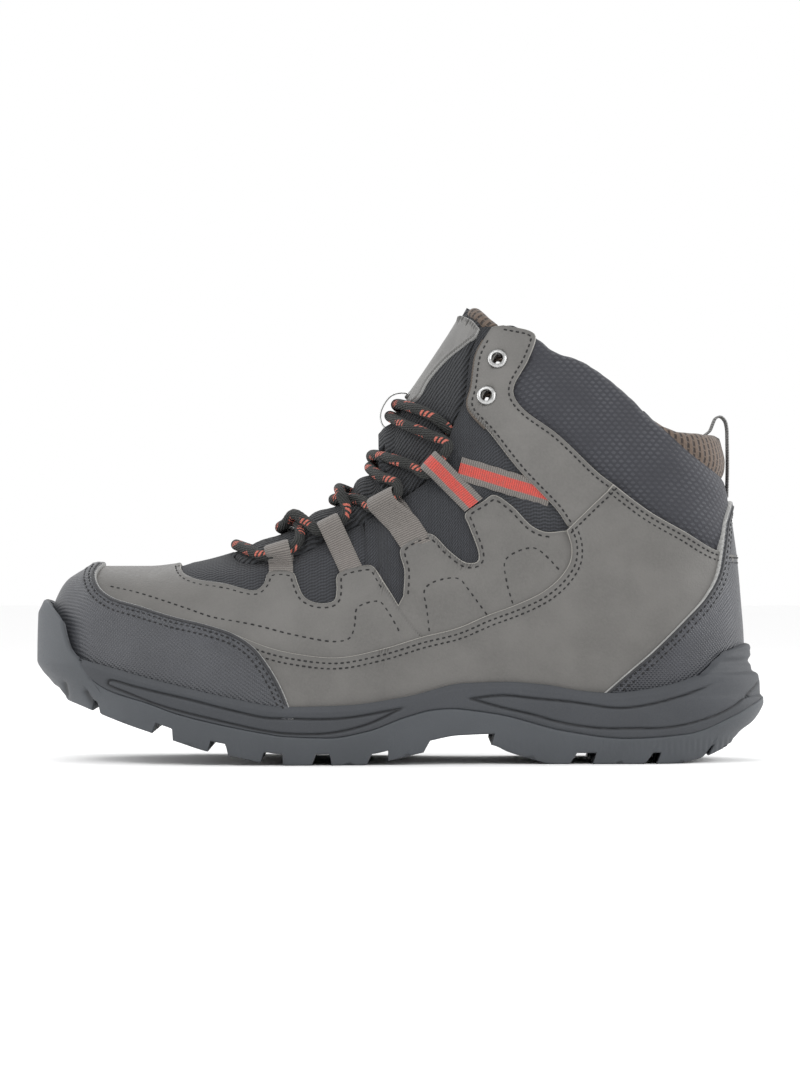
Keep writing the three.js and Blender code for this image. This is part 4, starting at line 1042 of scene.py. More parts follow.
TAIL_START = 0.6    # each tail's first point lies this far along, clear of the laced stretch
AGLET_LENGTH = 20.0
for side, side_name in SIDES.items():
    route = tail_points(side)
    direction = route[-1] - route[-2]
    direction /= np.linalg.norm(direction)
    first = route[1] - route[0]
    route[0] = route[0] + TAIL_START * first / np.linalg.norm(first)
    tail_path = evenly(catmull_rom(route), 0.9)
    vertices, faces, uv = tube(tail_path, braided(tail_path))
    tail = place(make_object(f"lace_end_{side_name}", vertices, faces, LACE, uv, weld=True, sharp=50),
                 BOOT, [f"lace_tail_{side_name}"], "lace")
    start = tail_path[-1] + 0.3 * direction
    aglet_path = start + np.linspace(0, AGLET_LENGTH, 40)[:, None] * direction
    t = np.linspace(0, 1, 40)
    radius = 2.1 - 0.25 * smoothstep(t, 0.06, 0.16) - 0.5 * smoothstep(t, 0.9, 1.0) ** 2
    vertices, faces, uv = tube(aglet_path, radius, 24)
    aglet = place(make_object(f"aglet_tip_{side_name}", vertices, faces, AGLET, uv, weld=True),
                  BOOT, [f"aglet_{side_name}"], "plastic")

# ---- The upper's textile panels -------------------------------------------------------------------------------


def domain(line, side):
    """A side-view line as (a, q) on one side, kept off the ridge line itself."""
    p = on_side(line, side)
    p[:, 1] = np.where(np.abs(p[:, 1]) < 1e-3, side * 1e-3, p[:, 1])
    return p


def straight(points, side, step=EDGE_STEP):
    """Straight stretches between side-view points, as (a, q) on one side."""
    return domain(evenly(points, step), side)


def bottom_line(from_a, to_a, side, depth=1.0):
    a = np.linspace(from_a, to_a, max(int(abs(to_a - from_a) / 1.3), 2))
    return np.stack([a, np.full(len(a), side * depth)], -1)


def around_heel(line):
    """The other side's half of a line of outer (a, q), carried on around the heel."""
    mirror = line[::-1].copy()
    mirror[:, 0] = 2 * AROUND - mirror[:, 0]
    return mirror


def part_line(line, from_x=None, to_x=None):
    keep = np.ones(len(line), bool)
    if from_x is not None:
        keep &= line[:, 0] >= from_x
    if to_x is not None:
        keep &= line[:, 0] <= to_x
    return line[keep]


def at_toe_tip(a, q):
    return np.abs(a) < 1e-6


throat = smooth_line(THROAT)
throat = throat[throat[:, 1] < ridge_height(throat[:, 0]) - 0.4]
collar_top = smooth_line(COLLAR_TOP)
vamp_top = smooth_line(VAMP_TOP_EDGE)
quarter_top = smooth_line(QUARTER_TOP_EDGE)
lower_edge = smooth_line(OVERLAY_LOWER_EDGE)
guard_edge = smooth_line(GUARD_EDGE)
heel_edge = smooth_line(HEEL_COVER_EDGE)
eyestay_front = smooth_line(EYESTAY_FRONT)
eyestay_rear = smooth_line(EYESTAY_REAR)
heel_quarter_top = smooth_line(HEEL_QUARTER_TOP)
cuff_seam = smooth_line(CUFF_SEAM)


def puffed(windows, height=0.7):
    """Window fabric swells a little away from the overlays around it."""
    lines = [line_distance_lazy(line) for line in windows]

    def shape(a, q, p, d):
        away = np.min([distance(p) for distance in lines], axis=0)
        return -0.25 + height * smoothstep(away, 0.5, 6)
    return shape


def line_distance_lazy(line):
    return lambda p: line_distance(p, line)


# Vamp mesh: from the toe back to a line across the instep, open along the throat.
vamp_back = evenly([(-14, 80), (-6, 60), (-2, 24)])
lapped_back = vamp_back + [3.0, 0.0]
throat_front = part_line(throat, to_x=-15.0)
outer_half_line = np.vstack([
    domain(throat_front, OUTER)[:1] * [1, 0], domain(throat_front, OUTER),
    straight([throat_front[-1], lapped_back[0]], OUTER), domain(lapped_back, OUTER),
    bottom_line(along(1), 0.0, OUTER)])
toe_tip = np.stack([np.zeros(60), np.linspace(-1.0, 1.0, 60)], -1)
vamp_outline = np.vstack([outer_half_line, toe_tip, mirrored(outer_half_line)[len(outer_half_line):]])
lap_line = np.vstack([evenly([throat_front[-1] + [3.0, 1.4], lapped_back[0]]), lapped_back])


def vamp_textile_lift(a, q, p, d):
    return puffed([vamp_top, throat])(a, q, p, d) - 0.6 * (1 - smoothstep(line_distance(p, lap_line), 3.0,
            5.0))


panel("vamp_textile", vamp_outline, -1.9, vamp_textile_lift, MESH, step=2.6, rings=(0.8, 1.8),
      merge=at_toe_tip, replaces=["vamp_mesh"], slot="mesh")

collar_seam = smooth_line(COLLAR_SEAM)
for side, side_name in SIDES.items():
    rear_throat = part_line(throat, from_x=-15.0)
    rear_throat = rear_throat[rear_throat[:, 1] < 178.3]
    outline = np.vstack([
        domain(vamp_back[::-1], side), domain(rear_throat, side),
        straight([rear_throat[-1], (46, 178), (53, 175)], side),
        straight([(53, 175), (53, 165)], side), domain(collar_seam, side),
        straight([(129.5, 86), (129.5, 30)], side),
        bottom_line(along(129.5), along(-2), side)])
    panel(f"quarter_textile_{side_name}", outline, -1.5, puffed([vamp_top, quarter_top, eyestay_front]),
          MESH,
          step=2.6, rings=(0.8, 1.8), replaces=[f"quarter_mesh_{side_name}"], slot="mesh",
          holes=eyelet_holes(side))

# ---- Collar: its outer fabric and the lining roll over to meet along the top ----------------------------------

ROLL = 3.9       # how far below the outer surface the two fabrics meet
rim_line = np.vstack([collar_top, [[150, 132.3]]])


def padding_depth(p):
    return 3.7 + 4 * smoothstep(p[:, 2], 92, 120) * smoothstep(p[:, 0], 48, 64)


def rolled(height=0.0, seams=()):
    def shape(a, q, p, d):
        rim = line_distance(p, rim_line)
        t = np.clip(1 - rim / ROLL, 0, 1)
        lift = -ROLL + ROLL * np.sqrt(1 - t * t)
        away = smoothstep(rim, 2, 14)
        for seam_line, depth in seams:
            gap = line_distance(p, seam_line)
            lift = lift - depth * np.exp(-(gap / 1.6) ** 2)
            away = away * smoothstep(gap, 0, 9)
        return lift + height * away
    return shape


cuff_side = evenly(part_line(collar_top, 53, 99.5))
for side, side_name in SIDES.items():
    outline = np.vstack([
        domain(collar_seam[::-1], side), straight([(53, 165), (53, 174.9)], side), domain(cuff_side, side),
        straight([cuff_side[-1], CUFF_SEAM[0]], side), domain(cuff_seam, side),
        np.stack([np.full(26, AROUND), side * np.linspace(abs(share_at(142, 108, 1)),
                                                          abs(share_at(142, 85, 1)), 26)], -1),
        straight([(141, 85), (129.5, 86)], side)])
    panel(
        f"collar_fabric_{side_name}", outline, lambda a, q, p, d: rolled()(a, q, p, d) - 1.5,
        rolled(1.5, [(cuff_seam, 0.9), (collar_seam, 0.6)]), COLLAR, step=2.0, rings=(0.5, 1.1, 2.0),
        replaces=[f"collar_panel_{side_name}"], slot="collar")

cuff_top = np.vstack([evenly([CUFF_SEAM[0], (103, 140.5)]), part_line(collar_top, 103.5, 143)])
cuff_half = domain(cuff_top, OUTER)
cuff_low = domain(cuff_seam, OUTER)
cuff_outline = np.vstack([cuff_low[::-1], cuff_half, around_heel(cuff_half), around_heel(cuff_low[::-1])])
panel(
    "achilles_fabric", cuff_outline, lambda a, q, p, d: rolled()(a, q, p, d) - 1.5,
    rolled(1.2, [(cuff_seam, 0.9)]), CUFF, step=1.8, rings=(0.5, 1.1, 2.0),
    replaces=["achilles_cuff"], slot="lining")

lining_top = np.vstack([domain(rear, OUTER) for rear in (throat[throat[:, 1] < 178.3], collar_top)])
lining_top = np.vstack([[[0.0, -1e-3]], np.stack([np.linspace(1, along(-66), 60), np.full(60, -1e-3)], -1),
                        lining_top])
lining_outline = np.vstack([
    lining_top, around_heel(lining_top), bottom_line(2 * AROUND, 0.0, OUTER, 0.93)])


def lining_lift(a, q, p, d):
    depth = padding_depth(p) + 0.2
    rim = line_distance(p, rim_line)
    t = np.clip(1 - rim / (depth - ROLL + 0.01), 0, 1) * (depth > ROLL)
    rounded = -ROLL - (depth - ROLL) * np.sqrt(np.maximum(1 - t * t, 0))
    return np.where(depth > ROLL + 0.3, rounded, -depth)


def lining_merge(a, q):
    return (np.abs(a) < 1e-6) | (np.abs(a - 2 * AROUND) < 1e-6) | ((np.abs(q) < 2e-3))


panel("boot_lining", lining_outline, lambda a, q, p, d: lining_lift(a, q, p, d) - 1.0, lining_lift, LINING,
      step=3.0, rings=(0.8, 2.0), merge=lining_merge, replaces=["lining", "collar_foam"], slot="lining",
      holes=eyelet_holes(OUTER) + eyelet_holes(INNER, True))

# ---- Leather overlays, the toe guard and the heel cover -------------------------------------------------------

STITCH_DIP = 0.28
STITCH_PROUD = 0.1
FAR_FROM_EDGE = 10.0   # an edge distance at which a panel has its full thickness
stitches = []    # every stitch: middle, direction, normal, length


def sew(line, side, shape, pitch=2.6, length=1.5):
    """A row of stitches along a side-view line laid on one side of a panel's surface."""
    at = evenly(line, 0.4)
    at = at[(at[:, 1] < ridge_height(at[:, 0]) - 0.5) & (at[:, 1] > 20)]
    aq = domain(at, side)
    p = base(aq[:, 0], aq[:, 1])
    normals = normal(aq[:, 0], aq[:, 1])
    path = p + normals * (shape(aq[:, 0], aq[:, 1], p, np.full(len(p), FAR_FROM_EDGE)) + STITCH_PROUD)[:,
            None]
    run = distance_along(path)
    middles = np.arange(pitch / 2, run[-1] - pitch / 4, pitch)
    for s in middles:
        ends = [np.array([np.interp(s + e * length / 2, run, path[:, k]) for k in range(3)]) for e in (-1,
                1)]
        n = np.array([np.interp(s, run, normals[:, k]) for k in range(3)])
        stitches.append((ends[0], ends[1], n / np.linalg.norm(n)))


def grooves(lines, depth=STITCH_DIP, width=0.6):
    def dip(p):
        total = np.zeros(len(p))
        for line in lines:
            total = np.maximum(total, np.exp(-(line_distance(p, line) / width) ** 2))
        return depth * total
    return dip


def overlay(thick=1.35, low=0.0, radius=0.9, over=(), rows=(), puff=0.0):
    """An overlay's outer surface: rounded cut edge, raised where it laps over its neighbour, dipped at stitches."""
    dip = grooves(rows)

    def shape(a, q, p, d):
        lift = low + thick * soft_edge(d, radius, 0.45)
        for line, height, reach in over:
            lift = lift + height * (1 - smoothstep(line_distance(p, line), reach * 0.35, reach))
        if rows:
            lift = lift - dip(p)
        return lift + puff * smoothstep(d, 1, 8)
    return shape


DECO_VAMP = smooth_line([
    (-118.5, 71), (-105, 68), (-86.5, 62.5), (-75.5, 59), (-58.5, 56), (-42, 52), (-25.5, 49.5), (-20, 51),
    (-18, 57),
    (-17.5, 62.5), (-14.5, 64.5), (-7.5, 65.5), (-4.5, 61.5), (1, 51.5)])
DECO_QUARTER_FRONT = smooth_line([(12, 53), (11, 62.5), (10, 70.5), (13.5, 73.5), (24, 75), (27, 71.5),
                                  (35.5, 60)])
DECO_QUARTER_REAR = smooth_line([(46, 64), (43.5, 72.5), (42.5, 82), (45.5, 85), (54.5, 87.5), (59, 84.5),
                                 (66.5, 76.5)])

# Vamp overlay: across the ridge behind the guard, open under the guard and under the heel quarter.
vamp_front = part_line(guard_edge, to_x=-60)
vamp_front = vamp_front[vamp_front[:, 1] < ridge_height(vamp_front[:, 0]) - 0.2] + [-4.0, -2.0]
under_lower = shifted(part_line(lower_edge, to_x=9), -4.0)
vamp_rear = smooth_line([(12, 47), (8.2, 53), (4.4, 58), (0.6, 63.2)])
vamp_rim = vamp_top[::-1]
vamp_rim = vamp_rim[vamp_rim[:, 1] < ridge_height(vamp_rim[:, 0]) - 0.2]
half_line = np.vstack([
    [[along(vamp_front[0, 0] - 1.0), 0.0]], domain(vamp_front, OUTER),
    straight([vamp_front[-1], under_lower[0]], OUTER),
    domain(under_lower, OUTER), domain(vamp_rear, OUTER), domain(vamp_rim, OUTER),
    [[along(vamp_rim[-1, 0]), 0.0]]])
vamp_rows = [DECO_VAMP, shifted(part_line(vamp_top, to_x=-4), -2.0)]
half_inner = half_line * [1, -1]
vamp_loop = np.vstack([half_line, half_inner[::-1]])
vamp_shape = overlay(rows=vamp_rows)
panel("vamp_leather", vamp_loop, 0.0, vamp_shape, LEATHER, replaces=["vamp_overlay"], slot="leather")

quarter_rows = [shifted(part_line(quarter_top, to_x=62), -1.9), DECO_QUARTER_FRONT, DECO_QUARTER_REAR]
quarter_shape = overlay(low=-0.15, rows=quarter_rows)
for side, side_name in SIDES.items():
    rear_low = shifted(lower_edge[lower_edge[:, 0] > 3], -4.0)[::-1]
    outline = np.vstack([
        straight([(12, 47), (6, 53), (-2, 61.5)], side), straight([(-2, 61.5), (1.5, 68)], side),
        domain(quarter_top[1:], side), straight([(67.5, 94.5), rear_low[0]], side), domain(rear_low, side)])
    panel(f"quarter_leather_{side_name}", outline, 0.0, quarter_shape, LEATHER,
          replaces=[f"quarter_overlay_{side_name}"], slot="leather")

eyestay_rows = [shifted(eyestay_rear, -1.9), shifted(eyestay_front, 1.9)]
eyestay_shape = overlay(thick=1.5, rows=eyestay_rows)
for side, side_name in SIDES.items():
    outline = np.vstack([
        straight([(35, 173), (38, 177.5), (42.5, 178)], side), domain(eyestay_rear[1:], side),
        straight([(86.5, 113.5), (88, 110.5), (84.5, 107), (71, 94.5), (68, 96.5)], side),
        domain(eyestay_front[::-1][1:], side)])
    panel(f"eyestay_leather_{side_name}", outline, 0.0, eyestay_shape, EYESTAY_LEATHER,
          holes=eyelet_holes(side),
          replaces=[f"eyestay_{side_name}"], slot="leather")

quarter_upper = np.vstack([lower_edge, heel_quarter_top[heel_quarter_top[:, 0] > 86.6]])
heel_rows = [shifted(lower_edge, -2.4), shifted(lower_edge, -4.4), shifted(heel_quarter_top, -1.8),
             shifted(heel_quarter_top, -3.8)]
eyestay_seam = evenly([(67.5, 94.5), (84, 110.5), (86.5, 113.5)])
heel_rows.append(shifted(eyestay_seam, -2.0))
heel_shape = overlay(thick=1.5, over=[(lower_edge, 1.3, 7.0), (heel_quarter_top, 0.4, 6.0),
                                      (eyestay_seam, 1.3, 9.0)],
                     rows=heel_rows)
for side, side_name in SIDES.items():
    outline = np.vstack([
        domain(lower_edge, side), straight([(67.5, 94.5), (84, 110.5), (86.5, 113.5)], side),
        domain(part_line(heel_quarter_top, 86.6, 138), side),
        straight([(138, 85), (138, 60), (134, 30)], side), bottom_line(along(134), along(-64), side),
        straight([(-64, 22), (-66.5, 52)], side)[1:]])
    panel(f"heel_quarter_leather_{side_name}", outline, 0.0, heel_shape, LEATHER,
          replaces=[f"heel_quarter_{side_name}"], slot="leather")

guard_side = guard_edge[guard_edge[:, 1] < ridge_height(guard_edge[:, 0]) - 0.2]
guard_half = np.vstack([[[along(guard_side[0, 0] + 0.6), 0.0]], domain(guard_side, OUTER),
                        bottom_line(along(-42), 0.0, OUTER)])
guard_outline = np.vstack([guard_half, toe_tip, (guard_half * [1, -1])[::-1]])
guard_rows = [shifted(guard_edge, -2.5), shifted(guard_edge, -4.3)]
guard_shape = overlay(thick=1.7, over=[(guard_edge, 1.5, 9.0)], rows=guard_rows)
panel("toe_guard_leather", guard_outline, 0.0, guard_shape, GUARD, merge=at_toe_tip,
      replaces=["toe_guard"], slot="guard")

heel_cover_half = domain(heel_edge, OUTER)
top_a = np.linspace(heel_cover_half[-1, 0], AROUND, 8)
heel_top_q = np.interp(top_a, [heel_cover_half[-1, 0], AROUND],
                       [heel_cover_half[-1, 1], share_at(142, 106.5, OUTER)])
heel_cover_half = np.vstack([heel_cover_half, np.stack([top_a, heel_top_q], -1)[1:]])
heel_outline = np.vstack([heel_cover_half, around_heel(heel_cover_half)[1:],
                          bottom_line(2 * AROUND - along(70), along(70), OUTER)])
heel_cover_rows = [shifted(heel_edge, -2.3), shifted(heel_edge, -4.3)]
heel_cover_shape = overlay(thick=1.7, over=[(heel_edge, 1.4, 8.0)], rows=heel_cover_rows)
panel("heel_cover_leather", heel_outline, 0.0, heel_cover_shape, HEEL_GUARD,
      replaces=["heel_cover"], slot="guard")


def edging(name, line, side, shape, radius, finish):
    """A thin cord or tape laid along a side-view line, half sunk in a panel's surface."""
    at = evenly(line, 0.8)
    at = at[(at[:, 1] < ridge_height(at[:, 0]) - 0.5) & (at[:, 1] > 24)]
    aq = domain(at, side)
    p = base(aq[:, 0], aq[:, 1])
    lift = shape(aq[:, 0], aq[:, 1], p, np.full(len(p), FAR_FROM_EDGE))
    path = evenly(p + normal(aq[:, 0], aq[:, 1]) * lift[:, None], 0.7)
    vertices, cord_faces, uv = tube(path, radius, 10)
    return place(make_object(name, vertices, cord_faces, finish, uv, weld=True), BOOT, (), "lace")


for side, side_name in SIDES.items():
    edging(f"toe_piping_{side_name}", shifted(guard_edge, -1.15), side, guard_shape, 0.5, PIPING)
    edging(f"heel_piping_{side_name}", shifted(heel_edge, -1.1), side, heel_cover_shape, 0.5, PIPING)
    edging(f"eyestay_binding_{side_name}", shifted(part_line(eyestay_front, to_x=36.0), 0.1)[1:-1], side,
           lambda a, q, p, d: np.full(len(p), 0.2), 0.85, BINDING)

# ---- Sole -----------------------------------------------------------------------------------------------------

sole_centre = curve([(-150, 9), (-110, 5), (-70, 1), (-30, 0), (150, 0)])
sole_outer_half = curve([
    (-150, 40), (-120, 46), (-100, 50.5), (-70, 54.5), (-45, 54.5), (-15, 51.5), (20, 45), (60, 41),
    (100, 40.5), (150, 38)])
sole_inner_half = curve([
    (-150, 38), (-120, 44), (-100, 49), (-70, 53.5), (-45, 51.5), (-15, 45), (20, 39.5), (60, 38),
    (100, 39.5), (150, 38)])
toe_reach = curve([(-1, -137), (13, -138.5), (25, -139.8), (29, -141.5), (33, -144.5), (37, -148),
                   (41, -150), (60, -149.6), (64, -148), (68, -146)])
heel_reach = curve([
    (-1, 131), (11.6, 139.9), (16.6, 146), (22, 149.4), (23.8, 150), (26.6, 149.9), (27.4, 148.6),
    (32.3, 148.4),
    (36.2, 147), (37.3, 145.4), (40.8, 143.9), (43.7, 144.3), (45.8, 144.8), (50.1, 141.6), (68, 140)])
share_of_width = curve([(-1, 0.9), (13, 0.97), (25, 1), (33, 0.995), (41, 0.985), (50, 0.97), (60, 0.955),
                        (68, 0.94)])
junction = curve([
    (-131, 42.7), (-112, 37.7), (-93, 33), (-70, 27.8), (-45, 23.7), (-23, 24.2), (3.5, 27.8), (26, 33),
    (43, 33.5),
    (59, 32.3), (74, 29.8), (85, 29), (105, 31.4), (121, 36.4), (133, 45.3), (144, 50), (152, 50)])
outsole_top = curve([
    (-130, 41.8), (-125, 34.2), (-117.4, 29.5), (-102.2, 25), (-89.6, 20.6), (-76.9, 17.4), (-53.6, 12.7),
    (-46, 11.6),
    (-28, 11), (-13, 13.6), (3.5, 19.6), (14, 22.2), (21.2, 22.6), (31, 21.6), (41.6, 19.9), (66.5, 13.4),
    (91.5, 10.3), (116.4, 11.9), (135.7, 19.1), (150, 26.6)])
tread = curve([
    (-150, 33), (-142, 27), (-130, 23), (-121.5, 20), (-110, 16), (-99, 12.5), (-90, 9.5), (-77, 5.5),
    (-66, 3.4),
    (-56, 1.2), (-47, 0), (-13, 0), (-5, 1.5), (10, 5), (22, 7.3), (37, 7.8), (44, 5), (53.5, 2), (62, 0),
    (112, 0),
    (124, 2.2), (134, 6), (141, 10.5), (150, 20)])
bumper_top = curve([(-150, 67.2), (-146, 66), (-141.5, 62.5), (-137.4, 57), (-136.1, 51.9), (-133.9, 46.3),
                    (-130.7, 42.7)])
LUGS = [
    (-137, -125), (-121.5, -99.5), (-91.5, -77), (-69.5, -55.5), (-47, -35), (-28, -13), (-5, 10), (37, 69),
    (78, 99.5), (104, 123.5), (126, 141)]
LUG_DEPTH = 4.5
BUMPER_X = -130.9        # in front of this the sole's wall is the toe bumper
BUMPER_REAR_X = -127     # behind this the outsole's inner face lies under the midsole
TIP_X = -144.9           # in front of this the bumper is solid right across
FORE_LEAF = [
    smooth_line([(-118, 33), (-117.4, 33.9), (-107.3, 31.7), (-95.9, 29.1), (-83.2, 26.3), (-70.6, 23.1),
                 (-53.6, 19.3),
                 (-46, 19), (-23, 19), (1, 22.9)], 0.5),
    smooth_line([(-118, 33), (-118.1, 32.3), (-108.6, 28.5), (-99.1, 25), (-89.6, 22.2), (-73.7, 18.4),
                 (-53.6, 13.9),
                 (-46, 13), (-28.5, 13), (-13, 16.5), (1, 22.9)], 0.5)]
HEEL_LEAF = [
    smooth_line([(28.7, 26.7), (41.6, 28), (55.8, 26.6), (70.1, 25.2), (87.9, 22.8), (98.6, 23.8),
                 (112.8, 27.3),
                 (130.7, 33.7)], 0.5),
    smooth_line([(28.7, 26.7), (41.6, 23), (52.3, 20.5), (66.5, 16.6), (80.8, 14.6), (95.1, 14.5),
                 (109.3, 14.9),
                 (123.5, 18), (134.2, 22.3), (141.3, 27.3), (147.1, 32.3)], 0.5)]
TOE_NOTCHES = [smooth_line([(-137, 31.5), (-136.5, 27)], 0.4),
               smooth_line([(-127.5, 28.5), (-124, 23)], 0.4)]
BUMPER_CREASE = smooth_line([(-137.4, 57), (-136.1, 51.9), (-133.9, 46.3), (-130.7, 42.7), (-125, 34.2)],
                            0.5)


def wall_top(x):
    return np.where(x < BUMPER_X, bumper_top(x), junction(x))


def wall_point(s, z, side):
    """A point of the sole's side wall: s from toe to heel, at a height."""
    toe, heel = toe_reach(z), heel_reach(z)
    x = toe + (heel - toe) * s
    half = np.where(side < 0, sole_outer_half(x), sole_inner_half(x)) * share_of_width(z)
    return np.stack([x, sole_centre(x) + side * half * end_rounding(x, toe, 44, heel, 40), z], -1)


def polyline_distance(x, z, line):
    best = np.full(np.shape(x), 1e9)
    for (x0, z0), (x1, z1) in zip(line[:-1], line[1:]):
        dx, dz = x1 - x0, z1 - z0
        t = np.clip(((x - x0) * dx + (z - z0) * dz) / max(dx * dx + dz * dz, 1e-9), 0, 1)
        best = np.minimum(best, np.hypot(x - x0 - t * dx, z - z0 - t * dz))
    return best


def crowded(count):
    """0 to 1, closer together at both ends where the outline turns across."""
    t = np.linspace(0, 1, count)
    return 0.5 - 0.5 * np.cos(math.pi * (0.5 - 0.5 * np.cos(math.pi * t)) ** 0.95)


def height_at(s, limit, start):
    """The height at which a wall station meets a line given over x."""
    z = np.full(np.shape(s), float(start))
    for _ in range(40):
        toe, heel = toe_reach(z), heel_reach(z)
        z = 0.5 * z + 0.5 * limit(toe + (heel - toe) * s)
    return z


def lug_recess(x):
    """0 in a lug, 1 in the gaps between lugs, over x."""
    recess = np.ones(np.shape(x))
    for start, end in LUGS:
        recess = np.minimum(recess, 1 - smoothstep(x, start - 0.6, start + 0.2)
                            * (1 - smoothstep(x, end - 0.2, end + 0.6)))
    return recess


def notch(x):
    """Small notches in the lugs' lower edges."""
    cut = np.zeros(np.shape(x))
    for start, end in LUGS:
        if end - start > 14:
            middle = (start + end) / 2
            cut = np.maximum(cut, np.exp(-((x - middle) / 1.4) ** 4))
    return cut


def wall(low_z, high_z, s, side, rows, depth_of, round_top=1.2):
    """A grid of wall points between two heights, pushed in where grooves run."""
    t = np.linspace(0, 1, rows)[:, None]
    z = low_z[None, :] + (high_z - low_z)[None, :] * t
    ss = np.broadcast_to(s[None, :], z.shape)
    p = wall_point(ss, z, side)
    ds, dz = 0.001, 0.25
    along_s = wall_point(np.clip(ss + ds, 0, 1), z, side) - wall_point(np.clip(ss - ds, 0, 1), z, side)
    up = wall_point(ss, z + dz, side) - wall_point(ss, z - dz, side)
    n = np.cross(along_s, up) * (-side)
    n = np.where((np.linalg.norm(n, axis=-1, keepdims=True) > 1e-9), n, (1e-9, 0, 0))
    n = n / np.linalg.norm(n, axis=-1, keepdims=True)
    # dark is the groove mask, which the rubber uses for painted shade in its grooves.
    depth, dark = depth_of(p[..., 0], z, t, side)
    edge = np.minimum(t * (high_z - low_z)[None, :], (1 - t) * (high_z - low_z)[None, :])
    rounding = 0.6 * (1 - np.sqrt(1 - np.clip(1 - edge / round_top, 0, 1) ** 2))
    return p - n * (depth + rounding)[..., None], dark


def groove(distance, width=0.55):
    return np.exp(-(distance / width) ** 2)


def outsole_depth(x, z, t, side):
    cut = groove(polyline_distance(x, z, BUMPER_CREASE)) * 0.7
    for line in TOE_NOTCHES:
        cut = np.maximum(cut, groove(polyline_distance(x, z, line), 1.2))
    texture = 0.12 * np.sin(x * 2 * math.pi / 2.4) * smoothstep(z, 2,
                                                                6) * (1 - smoothstep(z, 8, 12)) * (x > -100)
    return 1.1 * cut + texture, cut


def midsole_depth(x, z, t, side):
    cut = np.max([groove(polyline_distance(x, z, line)) for line in FORE_LEAF + HEEL_LEAF], axis=0)
    fade = 1 - smoothstep(x, 118, 134) * (polyline_distance(x, z, HEEL_LEAF[0]) < 2.0)
    ledge = 0.9 * (1 - smoothstep((wall_top(x) - z), 0.5, 2.6))
    steps = 0.35 * np.sin((z - 36) * 2 * math.pi / 4.2) * smoothstep(x, 112, 140) * smoothstep(z, 33, 36)
    return 0.85 * cut * fade + ledge + steps, cut * fade


S = crowded(640)


def cover(edge_ring, count, height_of, rows, flip=False):
    """Closes a ring across: rows of points from the outer wall to the inner, at heights given over x and y."""
    outer, inner = edge_ring[:count], edge_ring[count:][::-1]
    t = np.concatenate([[0, 0.012, 0.03], np.linspace(0.06, 0.94, rows - 6), [0.97, 0.988, 1]])[:, None,
            None]
    p = outer[None] * (1 - t) + inner[None] * t
    p[1:-1, :, 2] = height_of(p[1:-1, :, 0], p[1:-1, :, 1])
    faces = quads(len(t), len(outer))
    return p.reshape(-1, 3), [face[::-1] for face in faces] if flip else faces


def sole_layer(name, low, high, stations, wall_rows, depth_of, round_top, under, over, finish, node, slot,
               low_rows=14):
    """A closed layer of the sole: its walls on both sides, and the faces under and over that close it across."""
    walls = [wall(low, high, stations, side, wall_rows, depth_of, round_top) for side in (OUTER, INNER)]
    grid, dark = (np.concatenate([outer, inner[:, ::-1]], 1) for outer, inner in zip(*walls))
    parts = [(grid.reshape(-1, 3), quads(*grid.shape[:2], closed=True)),
             cover(grid[0], len(stations), under, low_rows),
             cover(grid[-1], len(stations), over, 14, flip=True)]
    vertices, faces = np.vstack([part[0] for part in parts]), []
    start = 0
    for part_vertices, part_faces in parts:
        faces += [[v + start for v in face] for face in part_faces]
        start += len(part_vertices)
    # The walls' groove mask, for the painted shade in the grooves; the covers get none.
    values = np.concatenate([dark.ravel(), np.zeros(len(vertices) - dark.size)])
    place(make_object(name, vertices, faces, finish, vertices[:, :2] * MM, {"groove": values}, weld=True,
                      sharp=35),
          BOOT, [node], slot)


def tread_gap(x):
    return LUG_DEPTH * lug_recess(x) + 1.0 * notch(x)


outsole_low = height_at(S, tread, 5)
STATION_X = toe_reach(outsole_low) + (heel_reach(outsole_low) - toe_reach(outsole_low)) * S
outsole_low = outsole_low + tread_gap(STATION_X)


def outsole_limit(x):
    return np.where(x < BUMPER_X, bumper_top(x), outsole_top(x))


outsole_high = np.array([float(height_at(np.array([s]), outsole_limit,
                                         64 if s < 0.02 else 14)[0]) for s in S])


def tread_height(x, y):
    x = np.broadcast_to(STATION_X, np.shape(x))
    off = y - sole_centre(x)
    half = np.minimum(sole_outer_half(x), sole_inner_half(x))
    channel = smoothstep(np.abs(off), 10.6, 11.4) * (1 - smoothstep(np.abs(off), 14.6, 15.4)) * (half > 24)
    siping = 0.9 * (np.abs(np.sin(x * math.pi / 3.6)) < 0.18) * (np.abs(off) < 9)
    return tread(x) + LUG_DEPTH * np.maximum(lug_recess(x), channel * (x > -118)) + siping


def under_cover(x, y):
    """The outsole's inner face: the bumper's full height up to the toe, then down under the midsole."""
    off = np.abs(y - centre_line(x))
    half = np.where(y < centre_line(x), outer_half(x), inner_half(x)) * end_rounding(x, TOE_X, TOE_RADIUS,
            HEEL_X, HEEL_RADIUS)
    beyond = np.where(x < TIP_X, 5.0, off - half - 1.9)   # how far outside the upper's foot
    share = smoothstep(beyond, -0.6, 0.6) * (x < BUMPER_REAR_X)
    return np.maximum(outsole_top(x) - 1.5, tread(x) + 3) * (1 - share) + (outsole_limit(x) - 0.3) * share


sole_layer("outsole_rubber", outsole_low, outsole_high, S, 56, outsole_depth, 0.8, tread_height,
           under_cover,
           OUTSOLE, "outsole", "rubber", low_rows=64)

mid_keep = wall_point(S, outsole_high, OUTER)[:, 0] > -131.2
S_MID = S[mid_keep]
mid_low = outsole_high[mid_keep] + 0.15
mid_high = np.array([float(height_at(np.array([s]), junction, 30)[0]) for s in S_MID])
mid_high = np.maximum(mid_high, mid_low + 0.3)
sole_layer("midsole_foam", mid_low, mid_high, S_MID, 44, midsole_depth, 1.3,
           lambda x, y: outsole_top(x) - 1.4 + 0.3, lambda x, y: junction(x) - 1.0, MIDSOLE, "midsole",
           "foam")

# ---- Stitching ------------------------------------------------------------------------------------------------

